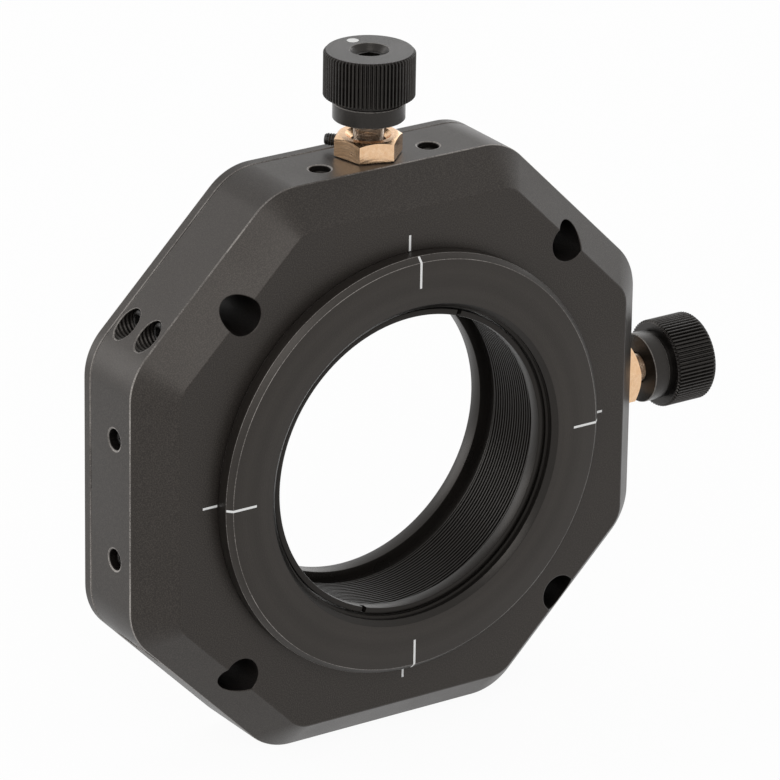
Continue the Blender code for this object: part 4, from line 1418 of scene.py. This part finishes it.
@dataclass
class LensCell:
    """The turned cell with its flange and threaded bore, and the ring that holds a lens."""

    box: Paintbox
    repeats: Repeats
    flange: float = 34.65 * MM
    flange_front: float = -3.23 * MM
    chamfer: float = 0.84 * MM
    barrel: float = 29.5 * MM
    step: float = 0.95 * MM
    minor: float = 25.45 * MM
    major: float = 25.84 * MM
    mouth: float = 26.62 * MM
    pitch: float = 0.635 * MM
    relief: float = 26.2 * MM
    relief_start: float = 13.6 * MM
    shoulder_start: float = 15.4 * MM
    shoulder: float = 24.4 * MM
    end: float = 17.9 * MM
    flange_back: float = -0.3 * MM
    neck_start: float = 4.6 * MM
    tail_start: float = 17.0 * MM
    fine_edge: float = 0.05 * MM
    thread_gaps: Point = (0.1 * MM, 0.3 * MM)
    mark_start: float = 29.6 * MM
    ring_edge: float = 0.12 * MM
    ring_inner: float = 24.2 * MM
    ring_outer: float = 25.15 * MM
    ring_front: float = -1.35 * MM
    ring_back: float = 0.85 * MM
    slot_width: float = 0.8 * MM
    slot_depth: float = 1.0 * MM
    slot_turn: float = 70.0
    steps: int = 288

    def build(self) -> None:
        """Make and dress the cell, its thread, its marks and the retaining ring."""
        paint, box = self.box.material, self.box
        # The cell's broken corners take the paler edge finish, which is wear and a painted highlight.
        cell = link("cell_body", self._body(), [paint(box.turned), paint(box.edge), paint(box.bore)])
        finish_piece(cell, "lens_stage", "black_anodised", "lens_cell")
        low = self.flange_front + (self.mouth - self.minor) + self.thread_gaps[0]
        high = self.relief_start - self.thread_gaps[1]
        coil = Coil(self.major, low, high, (high - low) / self.pitch,
                    half_depth=(self.major - self.minor) / cos(pi / 6),
                    half_width=self.pitch * THREAD_HALF_WIDTH,
                    run_out=0.015, steps=120, sides=6, section_turn=pi / 6)
        # The thread ridges take a darker copy of the anodising, painted shade inside the bore.
        thread = self.repeats.wind("cell_thread", coil, [ALONG_Y], paint(box.thread))
        finish_piece(thread, "lens_stage", "black_anodised")
        path = [(self.mark_start, self.flange_front), (self.flange - self.chamfer, self.flange_front),
                (self.flange - self.fine_edge, self.flange_front + self.chamfer - self.fine_edge)]
        finish_piece(painted_lines("flange_marks", path, box), "lens_stage", "black_anodised")
        # The ring takes a darker copy of the turned anodising, painted shade inside the bore; its broken
        # edges keep the plain turned finish.
        ring = link("retainer_ring", self._ring(), [paint(box.ring), paint(box.turned)])
        finish_piece(ring, "lens_retainer", "black_anodised", "retaining_ring")

    def _body(self) -> Mesh:
        """Turned body of the cell.

        Returns:
            Its mesh.
        """
        neck = self.barrel - self.step
        tail = neck - self.step
        fine = self.fine_edge
        corners = [
            (self.mouth, self.flange_front, fine), (self.flange - self.chamfer, self.flange_front, fine),
            (self.flange, self.flange_front + self.chamfer, fine), (self.flange, self.flange_back, fine),
            (self.barrel, self.flange_back, 0), (self.barrel, self.neck_start, 0), (neck, self.neck_start, 0),
            (neck, self.tail_start, 0), (tail, self.tail_start, 0), (tail, self.end, fine * 2),
            (self.shoulder, self.end, fine * 2), (self.shoulder, self.shoulder_start, fine),
            (self.relief, self.shoulder_start, 0), (self.relief, self.relief_start, 0),
            (self.major, self.relief_start, 0), (self.major, self.flange_front + self.mouth - self.major, 0),
        ]
        shape = lathe([(r, y) for r, y, w in corners], [w for r, y, w in corners], self.steps)
        # Faces inside the bore, its mouth edge too, take the darker bore finish: painted shade inside the
        # bore.
        near_end = self.end * 0.99
        for face in shape.faces:
            centre = face.calc_center_median()
            if centre.z < near_end and centre.to_2d().length < self.mouth + fine:
                face.material_index = SHADED_HOLE_WALL
        return tidy_mesh("cell_body", moved(shape, ALONG_Y))

    def _ring(self) -> Mesh:
        """Retaining ring with two spanner slots.

        Returns:
            Its mesh.
        """
        corners = [(self.ring_inner, self.ring_front), (self.ring_outer, self.ring_front),
                   (self.ring_outer, self.ring_back), (self.ring_inner, self.ring_back)]
        ring = solid("ring", moved(lathe(corners, [self.ring_edge] * 4, self.steps), ALONG_Y))
        half, reach = self.slot_width / 2, self.major
        bar = [(-reach, -half), (reach, -half), (reach, half), (-reach, half)]
        ends = (self.ring_front - self.slot_depth, self.ring_front + self.slot_depth)
        slot = skin([[(x, y, z) for x, z in bar] for y in ends])
        tool = solid("slot", moved(slot, Matrix.Rotation(-radians(self.slot_turn), 4, "Y")))
        add_cut(ring, tool)
        mesh = evaluated_copy("retainer_ring", ring)
        mesh.materials.clear()
        bpy.data.objects.remove(tool)
        mesh.set_sharp_from_angle(angle=SHARP_ANGLE)
        return mesh


class Adjuster:
    """One fine adjuster: bushing, lock screw, fine screw and knurled knob."""

    def __init__(self, direction: Direction, box: Paintbox, repeats: Repeats) -> None:
        """Set the sizes of this adjuster.

        Args:
            direction: Way that it points.
            box: All the finishes.
            repeats: Trees for what repeats.
        """
        self.direction = direction
        self.box = box
        self.repeats = repeats
        self.sizes = AdjusterSizes()
        self.flow = Flow.TOP_AXIS
        if direction is Direction.SIDE:
            self.sizes = AdjusterSizes(hex_turn=15.0, knob_start=52.5 * MM)
            self.flow = Flow.SIDE_AXIS
        self.frame = axis_frame(direction)

    def build(self) -> None:
        """Make and dress every piece on this axis."""
        name, moving = self.direction.value, f"{self.direction.value}_adjuster"
        box, paint = self.box, self.box.material
        bronze, steel, black = (paint(make(self.flow)) for make in (box.bronze, box.screw, box.knob))
        bushing = link(f"{name}_hex_bushing", self._bushing(), [bronze])
        finish_piece(bushing, "housing", "bronze", f"{name}_bushing")
        lock = link(f"{name}_lock_grub", self._lock(), [paint(box.black_steel)])
        finish_piece(lock, "housing", "black_steel", f"{name}_lock_screw")
        thread = self.repeats.wind(f"{name}_lock_thread", self.sizes.lock_thread, [self._lock_frame()],
                                   paint(box.black_steel))
        finish_piece(thread, "housing", "black_steel")
        screw = link(f"{name}_screw_core", self._screw(), [steel])
        finish_piece(screw, moving, "bright_steel", f"{name}_fine_screw")
        ridge = self.repeats.wind(f"{name}_screw_thread", self._fine_thread(), [self.frame], steel)
        finish_piece(ridge, moving, "bright_steel")
        knob = link(f"{name}_knob_body", self._knob(), [black, paint(box.edge)])
        finish_piece(knob, moving, "knob_anodised", f"{name}_knob")
        finish_piece(self._knurl(f"{name}_knob_knurl", black), moving, "knob_anodised")
        dot = link(f"{name}_knob_dot", self._dot(), [paint(box.paint)])
        finish_piece(dot, moving, "knob_anodised")

    def _bushing(self) -> Mesh:
        """Hexagonal head with a turned chamfer and countersink over a round barrel.

        Returns:
            Its mesh.
        """
        s = self.sizes
        steps = 120
        face = s.hex_width / 2 - s.hex_edge
        slope = s.hex_chamfer / (s.hex_width / sqrt(3) - face)
        head = hex_loop(s.hex_width, s.hex_start, steps)
        rim = [(x, y, s.hex_end - (Vector((x, y)).length - face) * slope) for x, y, _ in head]
        barrel = [(s.bore, s.bushing_end), (s.barrel - s.barrel_chamfer, s.bushing_end),
                  (s.barrel, s.bushing_end + s.barrel_chamfer), (s.barrel, s.hex_start)]
        mouth = [(face, s.hex_end), (s.sink, s.hex_end), (s.bore, s.hex_end - (s.sink - s.bore))]
        rings = [circle(radius, height, steps) for radius, height in barrel] + [head, rim]
        rings += [circle(radius, height, steps) for radius, height in mouth]
        turn = Matrix.Rotation(radians(s.hex_turn), 4, "Z")
        return tidy_mesh("bushing", moved(skin(rings, closed_tube=True), self.frame @ turn))

    def _lock_frame(self) -> Matrix:
        """Frame across the axis, Z out of the hexagon's flat."""
        turn = Matrix.Rotation(radians(self.sizes.hex_turn + 90), 4, "Z")
        return self.frame @ Matrix.Translation((0, 0, self.sizes.lock_height)) @ turn @ ALONG_X

    def _lock(self) -> Mesh:
        """Headless lock screw that sticks out of the hexagon."""
        return tidy_mesh("lock", moved(LOCK_SCREW.shape(self.sizes.lock_reach), self._lock_frame()))

    def _screw(self) -> Mesh:
        """Core of the fine screw with the round seat of its ball.

        Returns:
            Its mesh.
        """
        s = self.sizes
        core = s.screw - s.thread_depth
        drop = s.screw_end - s.ball_centre
        steps = 7
        slope = atan2(sqrt(s.seat ** 2 - drop ** 2), drop)
        angles = [slope * (1 - k / steps) for k in range(steps)]
        bowl = [(s.seat * sin(a), s.ball_centre + s.seat * cos(a)) for a in angles]
        profile = [(core, s.knob_start + s.screw_in_knob), (core, s.screw_end + s.screw_chamfer),
                   (core - s.screw_chamfer, s.screw_end)] + bowl
        return tidy_mesh("screw", moved(solid_lathe(profile, steps=64), self.frame))

    def _fine_thread(self) -> Coil:
        """Fine thread over the length that shows and runs in the bushing.

        Returns:
            The thread's sizes.
        """
        s = self.sizes
        low, high = s.screw_end + s.clearance, s.knob_start + s.thread_over
        return Coil(s.screw - s.thread_depth, low, high, (high - low) / s.thread_pitch,
                    half_depth=s.thread_depth, half_width=s.thread_pitch * s.thread_width, run_out=0.01,
                    steps=40)

    def _knob(self) -> Mesh:
        """Turned body of the knob, with its dish and hex socket.

        Returns:
            Its mesh.
        """
        s = self.sizes
        steps = 240
        start = s.knob_start
        grip = start + s.neck_length
        end = grip + s.grip_length
        bore = s.screw + s.clearance
        root = s.grip - s.rib_depth
        edge = s.knob_edge
        hollow = start + s.screw_in_knob + s.clearance
        collar = grip - s.groove_width
        floor = s.neck - s.groove_depth
        dish = end - s.dish_depth
        profile = [(bore, hollow), (bore, start), (s.neck - s.neck_edge, start),
                   (s.neck, start + s.neck_edge), (s.neck, collar - s.neck_edge),
                   (s.neck - s.neck_edge, collar), (floor, collar), (floor, grip),
                   (root - edge, grip), (root, grip + edge), (root, end - s.rim), (s.grip - s.rim, end),
                   (s.dish + edge, end), (s.dish, end - edge), (s.dish_floor, dish)]
        rings = [circle(radius, height, steps) for radius, height in profile]
        rings += [circle(s.socket * s.socket_lip, dish, steps), hex_loop(s.socket, dish - edge, steps),
                  hex_loop(s.socket, dish - s.socket_depth, steps)]
        # The neck's and collar's chamfers and the dish's rim take the paler edge finish: wear and a painted
        # highlight of their glints.
        worn_and_highlight_spans = (2, 4, 12)
        return tidy_mesh("knob", moved(skin(rings, marks=worn_and_highlight_spans), self.frame))

    def _knurl(self, name: str, material: Material) -> Object:
        """Straight knurl: ribs in a ring round the grip.

        Args:
            name: Name of the piece.
            material: Material of the ribs.

        Returns:
            The piece.
        """
        s = self.sizes
        grip = s.knob_start + s.neck_length
        end = grip + s.grip_length
        root = s.grip - s.rib_depth
        base = pi * root / s.ribs
        crest = base * s.rib_crest
        heights = [(grip + s.rib_gap, root), (grip + s.under_chamfer, s.grip), (end - s.rim, s.grip),
                   (end - s.rib_gap, s.grip - s.rim)]
        rings = []
        for height, out in heights:
            outline = [(-s.rib_buried, -base), (out - s.rib_round - root, -crest), (out - root, 0.0),
                       (out - s.rib_round - root, crest), (-s.rib_buried, base)]
            rings.append([(x, y, height) for x, y in outline])
        rib = solid("rib", skin(rings))
        values = {"Shape": rib, "Count": s.ribs, "Radius": root, "Material": material}
        knurl = self.repeats.make(name, self.repeats.ring, values, [self.frame])
        bpy.data.objects.remove(rib)
        return knurl

    def _dot(self) -> Mesh:
        """White index dot on the knob's end.

        Returns:
            Its mesh.
        """
        s = self.sizes
        end = s.knob_start + s.neck_length + s.grip_length
        turn = radians(s.dot_turn)
        centre = Matrix.Translation((s.dot_radius * cos(turn), s.dot_radius * sin(turn), end))
        disc = solid_lathe([(s.dot, -s.dot_sunk), (s.dot, s.dot_height)], steps=48)
        return tidy_mesh("dot", moved(disc, self.frame @ centre))


class InnerParts:
    """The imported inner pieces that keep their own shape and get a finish."""

    def __init__(self, box: Paintbox, frame: dict) -> None:
        """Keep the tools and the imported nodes."""
        self.box = box
        self.nodes: dict[str, Object] = frame["nodes"]

    def build(self) -> None:
        """Give every node that stays in view its material."""
        slides = ("vertical_frame", "lateral_slide", "cell_lock_ring")
        for name, node in self.nodes.items():
            if node.hide_render:
                continue
            finish = self.box.slide if name in slides else self.box.bright_steel
            node.data.materials.clear()
            node.data.materials.append(self.box.material(finish))
            LOG.info("%s keeps its shape and takes %s", name, finish.name)


@dataclass(frozen=True)
class Lamp:
    """A soft square lamp that points at the object."""

    name: str
    place: Triple
    size: float
    power: float


@dataclass
class Studio:
    """Pale floor, soft light and the camera of the photograph."""

    azimuth: float = 33.986
    elevation: float = 22.435
    roll: float = 0.931
    distance: float = 970.82 * MM
    aim: Triple = (-3.259 * MM, 0.0, 12.355 * MM)
    lens: float = 290.13
    sensor: float = 36.0
    clip: Point = (0.01, 50.0)
    floor_height: float = -47.0 * MM
    floor_size: float = 6.0
    floor_tone: float = 0.88
    floor_roughness: float = 0.9
    shown: float = 0.95
    sky: float = 0.62
    lamps: tuple[Lamp, ...] = (
        Lamp("key", (-0.59, -0.72, 0.76), 0.6, 3.4),
        Lamp("left_rim", (-1.0, 1.05, 0.32), 1.1, 7.5),
        Lamp("right_rim", (1.1, 0.7, 0.45), 1.0, 2.6),
    )

    def build(self) -> None:
        """Set up everything round the object."""
        bpy.context.scene.view_settings.view_transform = "Standard"
        self._camera()
        self._world()
        self._floor()
        self._lamps()

    def _camera(self) -> None:
        """Camera at the photograph's angle."""
        data = bpy.data.cameras.new("camera")
        data.lens = self.lens
        data.sensor_width = self.sensor
        data.clip_start, data.clip_end = self.clip
        azimuth, rise, tilt = (radians(angle) for angle in (self.azimuth, self.elevation, self.roll))
        back = Vector((-sin(azimuth) * cos(rise), -cos(azimuth) * cos(rise), sin(rise)))
        right = Vector((cos(azimuth), -sin(azimuth), 0))
        up = back.cross(right)
        rolled_right = right * cos(tilt) + up * sin(tilt)
        rolled_up = up * cos(tilt) - right * sin(tilt)
        camera = bpy.data.objects.new("camera", data)
        axes = Matrix((rolled_right, rolled_up, back)).transposed().to_4x4()
        camera.matrix_world = Matrix.Translation(Vector(self.aim) + back * self.distance) @ axes
        bpy.context.scene.collection.objects.link(camera)
        bpy.context.scene.camera = camera

    @staticmethod
    def _seen(tree: Tree) -> Socket:
        """1 for rays of the camera and for those that a mirror or glass sends on, else 0.

        Args:
            tree: Tree of the world or of a material.

        Returns:
            The mask.
        """
        path = put(tree, "ShaderNodeLightPath").outputs
        seen = math_node(tree, "MAXIMUM", path["Is Camera Ray"], path["Is Transmission Ray"])
        return math_node(tree, "MAXIMUM", seen, path["Is Glossy Ray"])

    def _world(self) -> None:
        """Even white world, brighter to the eye than as a light."""
        world = bpy.data.worlds.new("world")
        bpy.context.scene.world = world
        world.use_nodes = True
        tree = world.node_tree
        strength = ramp(tree, self._seen(tree), 0.0, 1.0, self.sky, 1.0)
        fill(tree, tree.nodes["Background"], {"Color": (1, 1, 1, 1), "Strength": strength})

    def _floor(self) -> None:
        """Pale floor that keeps a light shadow."""
        shape = bmesh.new()
        bmesh.ops.create_grid(shape, x_segments=1, y_segments=1, size=self.floor_size)
        lowered = moved(shape, Matrix.Translation((0, 0, self.floor_height)))
        material = bpy.data.materials.new("pale_floor")
        material.use_nodes = True
        tree = material.node_tree
        shader = tree.nodes["Principled BSDF"]
        tone = (self.floor_tone,) * 3
        fill(tree, shader, {"Base Color": (*tone, 1), "Roughness": self.floor_roughness})
        glow = put(tree, "ShaderNodeEmission", {"Strength": 1.0})
        share = math_node(tree, "MULTIPLY", self._seen(tree), self.shown)
        mix = put(tree, "ShaderNodeMixShader", {"Fac": share, 1: shader.outputs[0], 2: glow.outputs[0]})
        fill(tree, tree.nodes["Material Output"], {"Surface": mix.outputs[0]})
        link("floor", tidy_mesh("floor", lowered, False), [material])

    def _lamps(self) -> None:
        """Large soft lamps: one high on the left in front, and two behind that graze the walls."""
        for lamp in self.lamps:
            data = bpy.data.lights.new(lamp.name, "AREA")
            data.size = lamp.size
            data.energy = lamp.power
            light = bpy.data.objects.new(lamp.name, data)
            light.location = lamp.place
            light.rotation_euler = (-Vector(lamp.place)).to_track_quat("-Z", "Y").to_euler()
            bpy.context.scene.collection.objects.link(light)


def main() -> None:
    """Build the mount, dress it and light it."""
    logging.basicConfig(level=logging.INFO, format="%(message)s")
    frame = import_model()
    box = Paintbox()
    repeats = Repeats()
    Housing(box, repeats).build()
    LensCell(box, repeats).build()
    for direction in Direction:
        Adjuster(direction, box, repeats).build()
    InnerParts(box, frame).build()
    Studio().build()


if __name__ == "__main__":
    main()
